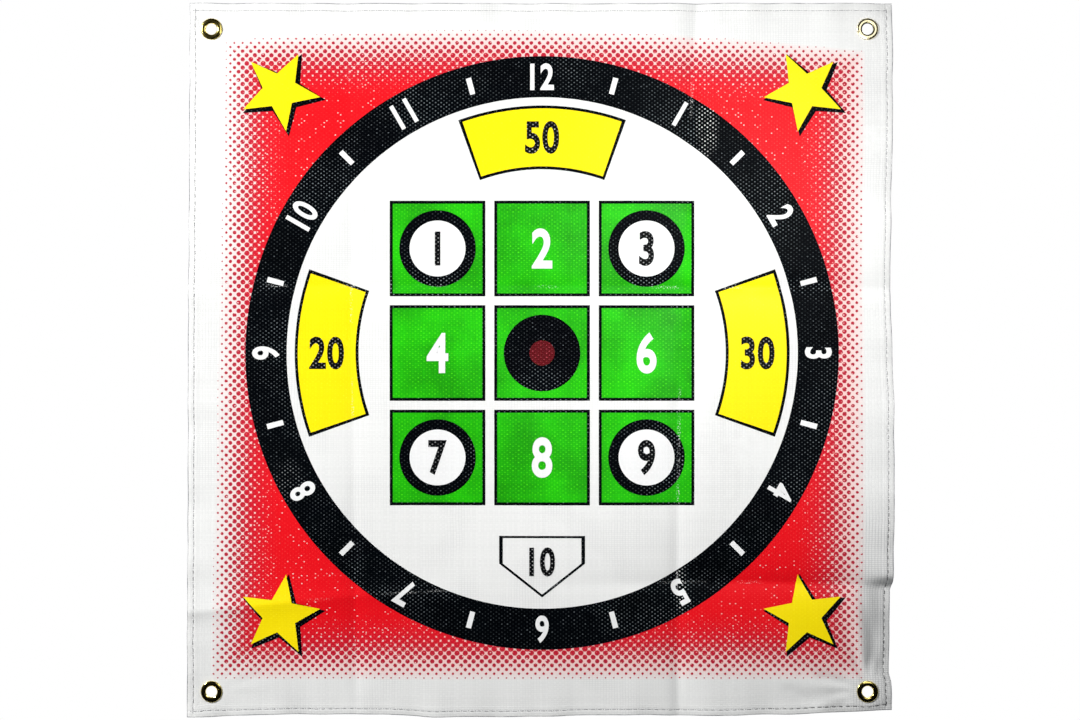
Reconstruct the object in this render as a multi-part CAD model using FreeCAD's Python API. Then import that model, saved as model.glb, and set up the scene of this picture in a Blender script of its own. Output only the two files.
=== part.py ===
"""Pitching target: a hemmed square of woven plastic cloth that hangs from four clinched brass eyelets.

Millimetres. X runs to the right as the pitcher sees it, Z up, and the printed front looks along -Y.
The origin is the centre of the four eyelets, on the middle of the cloth's thickness.
"""
import FreeCAD, Part
import math
import os

Vector = FreeCAD.Vector

# Where the eyelets are
EYELET_PITCH_X = 703.0        # between eyelet centres, side to side
EYELET_PITCH_Z = 710.0        # between eyelet centres, bottom to top
EYELET_CLEAR_SIDE = 2.5       # bare cloth between an eyelet's flange and the side hem
EYELET_CLEAR_TOP = 5.0
EYELET_CLEAR_BOTTOM = 2.0

# Cloth and its turned hems
CLOTH_THICKNESS = 0.4
HEM_DEPTH = 11.0              # folded edge to raw edge
HEM_GAP = 0.1                 # air between the two layers of a hem
MITRE_GAP = 0.3               # slit between two hems at a corner, on the back

# Packing folds, left in the cloth as shallow valleys
FOLD_LEFT_X = -201.0
FOLD_RIGHT_X = 150.5
FOLD_UPPER_Z = 79.0
FOLD_LOWER_Z = -255.0
FOLD_DEPTH = 2.0              # how far a fold's line lies behind the flat cloth
FOLD_REACH = 28.0             # from a fold's line to where the cloth is flat again

# Lockstitched seams, one along each hem
SEAM_TO_RAW_EDGE = 4.7
SEAM_TO_RAW_EDGE_TOP = 3.0
SEAM_END = 1.5                # a seam stops this far from the sheet's edge
THREAD_WIDTH = 0.6
THREAD_HEIGHT = 0.3
THREAD_CLEARANCE = 0.05       # between two threads that cross
BRIDGE_SLOPE = 1.2            # length of the slope where one thread climbs over another

# Brass eyelet: flange in front, neck through the cloth, neck curled over a washer behind
BORE_DIAMETER = 12.0
BRASS_THICKNESS = 0.45
FLANGE_DIAMETER = 23.0
FLANGE_SHOULDER = 1.25        # height of the flange's outer shoulder above the cloth
FLANGE_CROWN = 1.85           # height of its crown
FLANGE_THROAT = 1.35          # height at which the flange turns down into the neck
SHOULDER_RADIUS = 0.7
CROWN_RADIUS = 6.0
THROAT_RADIUS = 0.9
NECK_CURL = 0.6               # bend radius of the neck's curl, to the middle of the metal
NECK_CLEARANCE = 0.1          # between the neck and what it passes through

# Washer behind the cloth
WASHER_DIAMETER = 22.4
WASHER_SEAT = 1.9             # width of the flat ring that the curl grips
WASHER_RISE = 0.6             # height of the washer's raised ring above its seat
WASHER_SLOPE = 0.7
WASHER_BEND = 0.45

BEND_STEPS = 2                # straight steps that make up each bend, in cloth and in brass

# Sizes that follow
FLANGE_RADIUS = FLANGE_DIAMETER / 2
EYELET_X = EYELET_PITCH_X / 2
EYELET_Z = EYELET_PITCH_Z / 2
RIGHT = EYELET_X + FLANGE_RADIUS + EYELET_CLEAR_SIDE + HEM_DEPTH
LEFT = -RIGHT
TOP = EYELET_Z + FLANGE_RADIUS + EYELET_CLEAR_TOP + HEM_DEPTH
BOTTOM = -(EYELET_Z + FLANGE_RADIUS + EYELET_CLEAR_BOTTOM + HEM_DEPTH)
FRONT_FACE = -CLOTH_THICKNESS / 2
BACK_FACE = CLOTH_THICKNESS / 2
HEM_MIDDLE = CLOTH_THICKNESS + HEM_GAP                  # middle of the turned layer
HEM_FACE = HEM_MIDDLE + CLOTH_THICKNESS / 2
HEM_BEND = HEM_MIDDLE / 2                               # bend radius, to the middle of the cloth
HEM_ROUND = HEM_BEND + CLOTH_THICKNESS / 2              # width of the round edge
NECK_RADIUS = BORE_DIAMETER / 2 + BRASS_THICKNESS

CORNERS = {
    "top_left": (-EYELET_X, EYELET_Z),
    "top_right": (EYELET_X, EYELET_Z),
    "bottom_left": (-EYELET_X, -EYELET_Z),
    "bottom_right": (EYELET_X, -EYELET_Z),
}


def on_level(level):
    """Places a flat drawing (u, v) on the level plane at a height: u along X, v along Y."""
    return lambda p: Vector(p.x, p.y, level)


def on_side(distance):
    """Places a flat drawing (u, v) on the upright plane at a distance: u along Z, v along Y."""
    return lambda p: Vector(distance, p.y, p.x)


def left_of(direction):
    """Unit vector to the left of a direction in the drawing."""
    return Vector(-direction.y, direction.x)


def headings(points):
    """Unit vector along each run of a line."""
    return [(b - a).normalize() for a, b in zip(points, points[1:])]


def bent(points, radii):
    """Line through the points whose inner corners are rounded, each by short straight runs that touch the
    arc of its radius."""
    points = [Vector(u, v) for u, v in points]
    along = headings(points)
    line = points[:1]
    for corner, before, after, radius in zip(points[1:], along, along[1:], radii):
        angle = before.getAngle(after)
        side = left_of(before) * math.copysign(radius, before.cross(after).z)
        centre = corner - before * radius * math.tan(angle / 2) + side
        reach = 1 / math.cos(angle / BEND_STEPS / 2)
        for step in range(BEND_STEPS):
            turn = (step + 0.5) * angle / BEND_STEPS
            line.append(centre + (before * radius * math.sin(turn) - side * math.cos(turn)) * reach)
    return line + points[-1:]


def beside(line, offset):
    """The line that keeps a distance to the left of a line of straight runs."""
    along = headings(line)
    ends = [line[0] + left_of(along[0]) * offset, line[-1] + left_of(along[-1]) * offset]
    inner = []
    for corner, before, after in zip(line[1:], along, along[1:]):
        outward = (left_of(before) + left_of(after)).normalize()
        inner.append(corner + outward * offset / math.cos(before.getAngle(after) / 2))
    return ends[:1] + inner + ends[1:]


def outline_face(points):
    """Flat face inside a closed outline of straight edges."""
    return Part.Face(Part.makePolygon(points + points[:1]))


def strip(line, thickness, place):
    """Face of a sheet of even thickness seen edge on, whose middle follows a line of straight runs."""
    loop = beside(line, thickness / 2) + beside(line, -thickness / 2)[::-1]
    return outline_face([place(point) for point in loop])


def swept(section, line, place):
    """Solid that a flat section makes as it slides, without turning, along a line of straight runs."""
    solids = []
    for start, end in zip(line, line[1:]):
        step = place(Vector(*end)) - place(Vector(*start))
        solids.append(section.extrude(step))
        section = section.translated(step)
    return joined(solids)


def joined(solids):
    """One solid from solids that share faces."""
    return solids[0].multiFuse(solids[1:]).removeSplitter().Solids[0]


def folded(start, end, folds):
    """The cloth's line from one place to another: flat, with a shallow valley at each fold."""
    line = [(start, 0)]
    for fold in folds:
        line += [(fold - FOLD_REACH, 0), (fold, FOLD_DEPTH), (fold + FOLD_REACH, 0)]
    return line + [(end, 0)]


def spread(start, end):
    """The cloth's line from side to side."""
    return folded(start, end, (FOLD_LEFT_X, FOLD_RIGHT_X))


def rise(start, end):
    """The cloth's line from bottom to top."""
    return folded(start, end, (FOLD_LOWER_Z, FOLD_UPPER_Z))


def flat_section(line, level):
    """The cloth cut level: its thickness all along a line from side to side."""
    front = [Vector(x, y + FRONT_FACE, level) for x, y in line]
    back = [Vector(x, y + BACK_FACE, level) for x, y in line]
    return outline_face(front + back[::-1])


def hem_section(edge_at, inward, place):
    """Round edge and turned layer of a hem, from where the flat cloth ends."""
    flat_end = edge_at + inward * HEM_ROUND
    bend = edge_at + inward * CLOTH_THICKNESS / 2
    raw_edge = edge_at + inward * HEM_DEPTH
    points = [(flat_end, 0), (bend, 0), (bend, HEM_MIDDLE), (raw_edge, HEM_MIDDLE)]
    return strip(bent(points, [HEM_BEND] * 2), CLOTH_THICKNESS, place)


def mitred(hem, outline):
    """Hem cut to its outline as seen from the front, so that it meets its neighbours at 45 degrees."""
    depth = 4 * (FOLD_DEPTH + HEM_FACE)
    plan = outline_face([Vector(x, -depth / 2, z) for x, z in outline])
    return hem.common(plan.extrude(Vector(0, depth, 0))).Solids[0]


def target_sheet():
    """The printed cloth: one piece, turned to the back on all four sides, with a hole at each eyelet."""
    flat_left, flat_right = LEFT + HEM_ROUND, RIGHT - HEM_ROUND
    flat_bottom, flat_top = BOTTOM + HEM_ROUND, TOP - HEM_ROUND
    across = flat_section(spread(flat_left, flat_right), flat_bottom)
    pieces = [swept(across, rise(flat_bottom, flat_top), on_side(0))]

    for edge_at, inward in ((LEFT, 1), (RIGHT, -1)):
        section = hem_section(edge_at, inward, on_level(BOTTOM))
        raw_edge = edge_at + inward * HEM_DEPTH
        raw_bottom, raw_top = BOTTOM + HEM_DEPTH, TOP - HEM_DEPTH
        outline = [(edge_at, BOTTOM), (edge_at, TOP), (raw_edge, raw_top), (raw_edge, raw_bottom)]
        pieces.append(mitred(swept(section, rise(BOTTOM, TOP), on_side(0)), outline))
    for edge_at, inward in ((BOTTOM, 1), (TOP, -1)):
        section = hem_section(edge_at, inward, on_side(LEFT))
        raw_edge = edge_at + inward * HEM_DEPTH
        raw_left, raw_right = LEFT + HEM_DEPTH, RIGHT - HEM_DEPTH
        outline = [(LEFT, edge_at), (RIGHT, edge_at), (raw_right, raw_edge), (raw_left, raw_edge)]
        pieces.append(mitred(swept(section, spread(LEFT, RIGHT), on_level(0)), outline))
    sheet = joined(pieces)

    slit_length = 2 * (HEM_DEPTH + MITRE_GAP) * math.sqrt(2)
    for x, z in ((LEFT, BOTTOM), (LEFT, TOP), (RIGHT, BOTTOM), (RIGHT, TOP)):
        corner = Vector(-slit_length / 2, HEM_MIDDLE / 2, -MITRE_GAP / 2)
        slit = Part.makeBox(slit_length, HEM_FACE, MITRE_GAP, corner)
        slope = -45 if x * z > 0 else 45
        slit.rotate(Vector(0, 0, 0), Vector(0, 1, 0), slope)
        slit.translate(Vector(x, 0, z))
        sheet = sheet.cut(slit)
    for x, z in CORNERS.values():
        start = Vector(x, -CLOTH_THICKNESS, z)
        hole = Part.makeCylinder(NECK_RADIUS + NECK_CLEARANCE, 2 * CLOTH_THICKNESS, start, Vector(0, 1, 0))
        sheet = sheet.cut(hole)
    return sheet.removeSplitter().Solids[0]


def turned(points, radii):
    """Ring of bent brass sheet round the Y axis, from its section as (radius, y) points."""
    section = strip(bent(points, radii), BRASS_THICKNESS, on_level(0))
    return section.revolve(Vector(0, 0, 0), Vector(0, 1, 0), 360).Solids[0]


def eyelet():
    """Flange whose rim stands on the cloth, and a neck whose end is curled out and down on the washer."""
    half = BRASS_THICKNESS / 2
    rim = FLANGE_RADIUS - half
    neck = NECK_RADIUS - half
    crown = (rim + neck) / 2
    curl_top = BACK_FACE + BRASS_THICKNESS + NECK_CURL + half
    points = [
        (rim, FRONT_FACE),
        (rim, FRONT_FACE - FLANGE_SHOULDER),
        (crown, FRONT_FACE - FLANGE_CROWN + half),
        (neck, FRONT_FACE - FLANGE_THROAT),
        (neck, curl_top),
        (neck + 2 * NECK_CURL, curl_top),
        (neck + 2 * NECK_CURL, BACK_FACE + BRASS_THICKNESS),
    ]
    return turned(points, [SHOULDER_RADIUS, CROWN_RADIUS, THROAT_RADIUS, NECK_CURL, NECK_CURL])


def washer():
    """Ring that lies on the cloth's back, gripped by the neck's curl, with a raised outer ring."""
    half = BRASS_THICKNESS / 2
    inner = NECK_RADIUS + NECK_CLEARANCE
    outer = WASHER_DIAMETER / 2 - half
    seat = BACK_FACE + half
    points = [
        (inner, seat),
        (inner + WASHER_SEAT, seat),
        (inner + WASHER_SEAT + WASHER_SLOPE, seat + WASHER_RISE),
        (outer, seat + WASHER_RISE),
        (outer, BACK_FACE),
    ]
    return turned(points, [WASHER_BEND] * 3)


def thread_section(inset, face, outward, place):
    """Low bead, flat below and narrower on top, that lies on a face of the cloth."""
    crest = face + outward * THREAD_HEIGHT
    low, high = THREAD_WIDTH / 2, THREAD_WIDTH / 4
    corners = [(-low, face), (-high, crest), (high, crest), (low, face)]
    return outline_face([place(Vector(inset + u, v)) for u, v in corners])


def upright_thread(x, face, outward):
    """Thread of a side seam, from bottom to top."""
    start, end = BOTTOM + SEAM_END, TOP - SEAM_END
    section = thread_section(x, face, outward, on_level(start))
    return swept(section, rise(start, end), on_side(0))


def level_thread(z, face, outward, crossed):
    """Thread of the top or bottom seam, with a bridge over each side seam that it crosses."""
    start, end = LEFT + SEAM_END, RIGHT - SEAM_END
    section = thread_section(z, face, outward, on_side(start))
    thread = swept(section, spread(start, end), on_level(0))
    lane = THREAD_WIDTH / 2 + THREAD_CLEARANCE
    lane_height = THREAD_HEIGHT + THREAD_CLEARANCE
    for x in crossed:
        low = z - THREAD_WIDTH / 2
        top_half = lane + THREAD_HEIGHT
        heights = [(-top_half - BRIDGE_SLOPE, 0), (-top_half, lane_height + THREAD_HEIGHT),
                   (top_half, lane_height + THREAD_HEIGHT), (top_half + BRIDGE_SLOPE, 0)]
        side = outline_face([Vector(x + u, face + outward * v, low) for u, v in heights])
        bridge = side.extrude(Vector(0, 0, THREAD_WIDTH))
        corner = Vector(x - lane, min(face, face + outward * lane_height), z - THREAD_WIDTH)
        gap = Part.makeBox(2 * lane, lane_height, 2 * THREAD_WIDTH, corner)
        thread = thread.fuse(bridge).cut(gap)
    return thread.removeSplitter().Solids[0]


def seam_threads():
    """Needle threads on the front and bobbin threads on the turned layer behind, by node name."""
    left, right = LEFT + HEM_DEPTH - SEAM_TO_RAW_EDGE, RIGHT - HEM_DEPTH + SEAM_TO_RAW_EDGE
    bottom, top = BOTTOM + HEM_DEPTH - SEAM_TO_RAW_EDGE, TOP - HEM_DEPTH + SEAM_TO_RAW_EDGE_TOP
    threads = {}
    for name, face, outward in (("needle_thread", FRONT_FACE, -1), ("bobbin_thread", HEM_FACE, 1)):
        threads[name + "_left"] = upright_thread(left, face, outward)
        threads[name + "_right"] = upright_thread(right, face, outward)
        threads[name + "_top"] = level_thread(top, face, outward, (left, right))
        threads[name + "_bottom"] = level_thread(bottom, face, outward, (left, right))
    return threads


def nodes():
    """Every piece of the target, by node name."""
    pieces = {"target_sheet": target_sheet()}
    for corner, (x, z) in CORNERS.items():
        pieces["eyelet_" + corner] = eyelet().translated(Vector(x, 0, z))
        pieces["washer_" + corner] = washer().translated(Vector(x, 0, z))
    pieces.update(seam_threads())
    return pieces


os.makedirs("parts", exist_ok=True)
for node, shape in nodes().items():
    shape.exportStep("parts/" + node + ".step")
    box = shape.BoundBox
    print(f"{node}: {shape.ShapeType}, valid {shape.isValid()}, {shape.Volume:.1f} mm3")
    print(f"    X {box.XMin:.2f} to {box.XMax:.2f}, Y {box.YMin:.2f} to {box.YMax:.2f}, "
          f"Z {box.ZMin:.2f} to {box.ZMax:.2f}")
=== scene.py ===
"""Pitching target of printed woven cloth, hung flat from four brass eyelets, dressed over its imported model.

Metres. X runs to the right as the pitcher sees the target, Z up, and the printed front looks along -Y.
Every soft piece follows one surface, Cloth.place, so print, stitches and hems stay on the cloth's waves.
"""

import logging
import math
from collections.abc import Callable, Sequence
from dataclasses import dataclass
from enum import Enum
from functools import reduce

import bmesh
import bpy
import numpy as np
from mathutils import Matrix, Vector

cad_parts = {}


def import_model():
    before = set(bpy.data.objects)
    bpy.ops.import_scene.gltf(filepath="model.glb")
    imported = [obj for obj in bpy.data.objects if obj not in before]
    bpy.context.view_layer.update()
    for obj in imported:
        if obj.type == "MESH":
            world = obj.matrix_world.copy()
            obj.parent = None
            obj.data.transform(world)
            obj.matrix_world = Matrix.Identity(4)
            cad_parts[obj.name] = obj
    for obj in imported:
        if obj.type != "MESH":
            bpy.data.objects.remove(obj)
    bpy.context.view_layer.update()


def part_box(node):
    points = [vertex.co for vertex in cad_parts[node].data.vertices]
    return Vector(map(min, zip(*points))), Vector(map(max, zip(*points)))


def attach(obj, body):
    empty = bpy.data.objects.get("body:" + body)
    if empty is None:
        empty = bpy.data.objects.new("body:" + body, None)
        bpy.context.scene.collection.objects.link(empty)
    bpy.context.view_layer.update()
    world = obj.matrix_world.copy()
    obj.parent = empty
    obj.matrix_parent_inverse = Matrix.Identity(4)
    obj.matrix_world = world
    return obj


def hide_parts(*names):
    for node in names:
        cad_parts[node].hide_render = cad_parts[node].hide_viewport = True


MM = 0.001
WEAVE_MAP = "cloth"
CLOTH_THICKNESS = 0.4 * MM
HEM_DEPTH = 11 * MM
STITCH_PITCH = 7.6 * MM
Colour = tuple[float, float, float]
Place = tuple[float, float]
Array = np.ndarray
Grid = tuple[Array, Array]
Mesh = tuple[Array, Array]
Piece = bpy.types.Object
Material = bpy.types.Material
Tree = bpy.types.NodeTree
Node = bpy.types.Node
Socket = bpy.types.NodeSocket

log = logging.getLogger("pitching_target")


class Corner(Enum):
    """Corners of the sheet, each with its name in the nodes and the signs of its X and Z."""

    TOP_LEFT = ("top_left", -1, 1)
    TOP_RIGHT = ("top_right", 1, 1)
    BOTTOM_LEFT = ("bottom_left", -1, -1)
    BOTTOM_RIGHT = ("bottom_right", 1, -1)

    def __init__(self, label: str, sign_x: int, sign_z: int) -> None:
        """Names the three parts of its value."""
        self.label = label
        self.sign_x = sign_x
        self.sign_z = sign_z


class Side(Enum):
    """Sides of the sheet."""

    LEFT = "left"
    RIGHT = "right"
    TOP = "top"
    BOTTOM = "bottom"

    @property
    def upright(self) -> bool:
        """True for the two sides that run from bottom to top."""
        return self in (Side.LEFT, Side.RIGHT)

    def swapped(self, first: object, second: object) -> tuple:
        """Two values, swapped where the side is upright. It takes X and Z to the places along and across the
        side, and takes those back to X and Z."""
        return (second, first) if self.upright else (first, second)


class Layer(Enum):
    """Height of a layer of ink above the cloth's face."""

    GROUND = 0.15 * MM
    FIGURE = 0.30 * MM
    NUMERAL = 0.45 * MM


# Helpers for numbers and meshes


def eased(value: Array) -> Array:
    """Smooth step from 0 at 0 to 1 at 1: three squares less two cubes of the clipped value."""
    t = np.clip(value, 0, 1)
    return t * t * (3 - 2 * t)


def around(count: int) -> Array:
    """Angles that divide a whole turn evenly, without the last, which is the first again."""
    return np.linspace(0, 2 * math.pi, count, endpoint=False)


def grid_faces(rows: int, columns: int, wrap: bool = False, tube: bool = False) -> Array:
    """Quads between the points of a grid whose points are numbered row by row.

    Args:
        rows: points along the first parameter.
        columns: points along the second parameter.
        wrap: True where the last row joins the first.
        tube: True where the last column joins the first.

    Returns:
        Four point numbers for each quad.
    """
    number = np.arange(rows * columns).reshape(rows, columns)
    if wrap:
        number = np.vstack([number, number[:1]])
    if tube:
        number = np.hstack([number, number[:, :1]])
    corners = [number[:-1, :-1], number[1:, :-1], number[1:, 1:], number[:-1, 1:]]
    return np.stack(corners, axis=-1).reshape(-1, 4)


def repeated(quads: Array, count: int) -> Array:
    """The same quads for several grids in a row, whose points are numbered one grid after another."""
    starts = np.arange(count) * (quads.max() + 1)
    return (quads[None] + starts[:, None, None]).reshape(-1, 4)


def joined(parts: Sequence[Mesh]) -> Mesh:
    """Points and faces of several grids as one pair of arrays."""
    starts = np.cumsum([0] + [len(points) for points, _ in parts[:-1]])
    faces = np.vstack([quads + start for (_, quads), start in zip(parts, starts)])
    return np.vstack([points for points, _ in parts]), faces


def build(name: str, points: Array, faces: Array,
          flat: Array | None = None) -> Piece:
    """Makes a smooth shaded mesh object at the origin, with doubled points merged.

    Args:
        name: name of the piece.
        points: N x 3 places in metres.
        faces: M x 4 or M x 3 point numbers.
        flat: N x 2 places on the flat cloth, kept as the UV map that the weave follows.

    Returns:
        The new object, linked to the scene.
    """
    mesh = bpy.data.meshes.new(name)
    mesh.from_pydata(points.reshape(-1, 3), [], faces)
    if flat is not None:
        corner_points = np.empty(len(mesh.loops), dtype=np.int32)
        mesh.loops.foreach_get("vertex_index", corner_points)
        chart = mesh.uv_layers.new(name=WEAVE_MAP)
        chart.data.foreach_set("uv", flat.reshape(-1, 2)[corner_points].astype(np.float32).ravel())
    work = bmesh.new()
    work.from_mesh(mesh)
    bmesh.ops.remove_doubles(work, verts=work.verts, dist=0.002 * MM)
    work.to_mesh(mesh)
    work.free()
    mesh.shade_smooth()
    piece = bpy.data.objects.new(name, mesh)
    bpy.context.scene.collection.objects.link(piece)
    return piece


def give_finishes(piece: Piece, materials: Sequence[Material], first_faces: int) -> None:
    """Gives a piece its materials: the first for so many of its first faces, and the second for the rest."""
    for material in materials:
        piece.data.materials.append(material)
    slots = np.ones(len(piece.data.polygons), dtype=np.int32)
    slots[:first_faces] = 0
    piece.data.polygons.foreach_set("material_index", slots)


# Shader building


@dataclass(frozen=True)
class Fade:
    """Smooth step from a low to a high value, as a number goes from a start to an end above or below it."""

    start: float
    end: float
    low: float = 0.0
    high: float = 1.0


@dataclass(frozen=True)
class Patches:
    """Cloudy noise whose patches have a size, sharpened by a smooth step of its level."""

    size: float
    fade: Fade
    detail: float = 2.0


def math_node(operation: str, swapped: bool = False) -> Callable[..., "Field"]:
    """Makes a method of Field that adds a Math node.

    Args:
        operation: the node's operation.
        swapped: True where the field itself comes second.

    Returns:
        The method; it takes one more value where the operation has two.
    """
    def result(field: "Field", other: "Field | float" = 0.0) -> "Field":
        """The node's result."""
        return field.graph.math(operation, *((other, field) if swapped else (field, other)))

    return result


@dataclass(frozen=True)
class Field:
    """Value that changes over a surface: a number, colour or place that a node puts out. Adding, multiplying
    and comparing fields adds the nodes that do so."""

    graph: "Graph"
    socket: Socket

    __add__ = __radd__ = math_node("ADD")
    __sub__ = math_node("SUBTRACT")
    __rsub__ = math_node("SUBTRACT", swapped=True)
    __mul__ = __rmul__ = math_node("MULTIPLY")
    __truediv__ = math_node("DIVIDE")
    __mod__ = math_node("FLOORED_MODULO")
    __pow__ = math_node("POWER")
    __abs__ = math_node("ABSOLUTE")
    root = math_node("SQRT")
    sine = math_node("SINE")
    cosine = math_node("COSINE")
    floor = math_node("FLOOR")
    fraction = math_node("FRACT")
    at_least = math_node("MAXIMUM")
    at_most = math_node("MINIMUM")
    above = math_node("GREATER_THAN")
    below = math_node("LESS_THAN")

    def faded(self, fade: Fade) -> "Field":
        """Smooth step of its level."""
        inputs = {"Value": self, "From Min": fade.start, "From Max": fade.end, "To Min": fade.low,
                  "To Max": fade.high}
        return self.graph.made("ShaderNodeMapRange", "Result", inputs, interpolation_type="SMOOTHSTEP")


Length = Array | Field
Inputs = dict[str | int, Field | Socket | float | Sequence[float]]


def square_sum(first: Field, second: Field) -> Field:
    """Sum of two numbers' squares."""
    return first * first + second * second


class Graph:
    """Node tree being built, with short calls for the nodes that these finishes use."""

    def __init__(self, tree: Tree) -> None:
        """Starts on an empty tree."""
        self.tree = tree
        tree.nodes.clear()

    def node(self, kind: str, inputs: Inputs | None = None, **settings: object) -> Node:
        """Adds a node.

        Args:
            kind: Blender's name for its kind.
            inputs: what goes into its inputs, by their names or numbers.
            settings: its other settings.

        Returns:
            The new node.
        """
        made = self.tree.nodes.new(kind)
        for key, value in settings.items():
            setattr(made, key, value)
        for key, value in (inputs or {}).items():
            self.feed(made.inputs[key], value)
        return made

    def made(self, kind: str, output: str | int, inputs: Inputs | None = None, **settings: object) -> Field:
        """One output of a new node, whose other arguments are those of node."""
        return Field(self, self.node(kind, inputs, **settings).outputs[output])

    def feed(self, socket: Socket, value: Field | Socket | float | Sequence[float]) -> None:
        """Links a socket, or sets its value.

        Args:
            socket: the socket.
            value: what to link, or a number or numbers; a colour of three numbers gets a fourth.
        """
        if isinstance(value, Field):
            self.tree.links.new(value.socket, socket)
        elif isinstance(value, bpy.types.NodeSocket):
            self.tree.links.new(value, socket)
        elif isinstance(socket.default_value, float):
            socket.default_value = value
        else:
            socket.default_value = tuple(value) + (1.0,) * (len(socket.default_value) - len(value))

    def math(self, operation: str, *values: Field | float) -> Field:
        """Result of a Math node."""
        return self.made("ShaderNodeMath", 0, dict(enumerate(values)), operation=operation)

    def mix(self, factor: Field | float, first: Field | Colour, second: Field | Colour,
            blend: str = "MIX") -> Field:
        """Colour between two colours, or another blend of them."""
        inputs = {0: factor, 6: first, 7: second}
        return self.made("ShaderNodeMix", 2, inputs, data_type="RGBA", blend_type=blend)

    def split(self, vector: Field) -> tuple[Field, ...]:
        """X, Y and Z of a vector."""
        parts = self.node("ShaderNodeSeparateXYZ", {0: vector})
        return tuple(Field(self, socket) for socket in parts.outputs)

    def noise(self, vector: Field, size: float, detail: float = 2.0) -> Field:
        """Noise whose patches are about a size in metres."""
        return self.made("ShaderNodeTexNoise", 0, {"Vector": vector, "Scale": 1 / size, "Detail": detail})

    def patches(self, vector: Field, patches: Patches) -> Field:
        """Noise, sharpened into patches."""
        return self.noise(vector, patches.size, patches.detail).faded(patches.fade)

    def chance(self, first: Field | float, second: Field | float) -> Field:
        """Random number for each pair of whole numbers."""
        pair = self.made("ShaderNodeCombineXYZ", 0, {0: first, 1: second})
        return self.made("ShaderNodeTexWhiteNoise", "Value", {"Vector": pair}, noise_dimensions="3D")

    def relief(self, height: Field, distance: float, below: Field | None = None) -> Field:
        """Turns a height into a relief.

        Args:
            height: the height, in units of the distance.
            distance: that unit in metres.
            below: the relief that this one lies on, if any.

        Returns:
            The normal.
        """
        inputs = {"Strength": 1.0, "Distance": distance, "Height": height}
        if below is not None:
            inputs["Normal"] = below
        return self.made("ShaderNodeBump", 0, inputs)

    def seen_by(self, *rays: str) -> Field:
        """1 for rays of the named kinds and 0 for others."""
        path = self.node("ShaderNodeLightPath")
        return reduce(Field.at_least, [Field(self, path.outputs[f"Is {ray} Ray"]) for ray in rays])

    def effect(self, tree: Tree, **inputs: Field | float) -> dict[str, Field]:
        """Places a node group.

        Args:
            tree: the group.
            inputs: what goes into its inputs, by their names in lower case.

        Returns:
            Its outputs by name.
        """
        placed = self.node("ShaderNodeGroup", node_tree=tree)
        for label, value in inputs.items():
            self.feed(placed.inputs[label.capitalize()], value)
        return {socket.name: Field(self, socket) for socket in placed.outputs}


class Group(Graph):
    """Shader node group being built. It takes a Vector, and amounts where it has any."""

    def __init__(self, name: str, *amounts: str) -> None:
        """Starts a group with its named inputs."""
        super().__init__(bpy.data.node_groups.new(name, "ShaderNodeTree"))
        for label, kind in (("Vector", "Vector"), *((amount, "Float") for amount in amounts)):
            self.tree.interface.new_socket(label, in_out="INPUT", socket_type="NodeSocket" + kind)
        given = self.node("NodeGroupInput")
        self.vector = Field(self, given.outputs["Vector"])
        self.amounts = [Field(self, given.outputs[amount]) for amount in amounts]

    def complete(self, **outputs: Field) -> Tree:
        """Gives the group its outputs, named here in lower case, and returns it."""
        fed = {label.capitalize(): value for label, value in outputs.items()}
        for label in fed:
            self.tree.interface.new_socket(label, in_out="OUTPUT", socket_type="NodeSocketFloat")
        self.node("NodeGroupOutput", fed)
        return self.tree


class Surface(Graph):
    """Material being built round one Principled shader."""

    def __init__(self, name: str) -> None:
        """Starts a material with its shader and output."""
        self.material = bpy.data.materials.new(name)
        self.material.use_nodes = True
        super().__init__(self.material.node_tree)
        self.shader = self.node("ShaderNodeBsdfPrincipled")
        self.output = self.node("ShaderNodeOutputMaterial", {"Surface": self.shader.outputs[0]})

    def chart(self) -> Field:
        """Places on the flat cloth."""
        return self.made("ShaderNodeUVMap", 0, uv_map=WEAVE_MAP)

    def place(self) -> Field:
        """Places in space."""
        return self.made("ShaderNodeTexCoord", "Object")

    def complete(self, inputs: Inputs) -> Material:
        """Feeds the shader's named inputs and returns the material."""
        for label, value in inputs.items():
            self.feed(self.shader.inputs[label], value)
        return self.material


# The cloth's surface


def middle_of(node: str) -> Place:
    """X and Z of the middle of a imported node's box."""
    low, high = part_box(node)
    return (low[0] + high[0]) / 2, (low[2] + high[2]) / 2


@dataclass(frozen=True)
class Fold:
    """Packing fold: a soft valley in the cloth, or a ridge where its depth is negative. Its line crosses
    the middle of the sheet at its place, and climbs by its slant for each metre along it and by its bow
    for each square metre. Its depth goes evenly from one end to the other, falls to about a third within
    its reach, and swells along the way by a share, in a short and a long sine."""

    level: bool
    place: float
    slant: float
    bow: float
    start_depth: float
    end_depth: float
    reach: float = 10 * MM
    tip_radius: float = 2.4 * MM
    swell: float = 0.22
    swell_short: float = 31 * MM
    swell_long: float = 77 * MM
    swell_shift: float = 40.0

    def line(self, along: Length) -> Length:
        """Its line: place, plus slant times the distance along, plus bow times the square of that."""
        return self.place + self.slant * along + self.bow * (along * along)

    def distance(self, x: Length, z: Length) -> Length:
        """Signed distance across the fold's line, of a mesh's points or in a shader."""
        along, across = (x, z) if self.level else (z, x)
        return across - self.line(along)

    def depth(self, x: Array, z: Array, half: float) -> Array:
        """Depth at the line times e to the minus (rounded distance over reach).

        Args:
            x: places across the flat cloth.
            z: places up the flat cloth.
            half: half the size of the sheet.

        Returns:
            How far the fold lies behind the cloth.
        """
        along = x if self.level else z
        share = np.clip((along + half) / (2 * half), 0, 1)
        deepest = self.start_depth + (self.end_depth - self.start_depth) * share
        quick = np.sin(along / self.swell_short + self.swell_shift * self.place)
        swell = 1 + self.swell * quick * np.sin(along / self.swell_long)
        rounded = np.sqrt(self.distance(x, z) ** 2 + self.tip_radius**2) - self.tip_radius
        return deepest * swell * np.exp(-rounded / self.reach)


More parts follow.
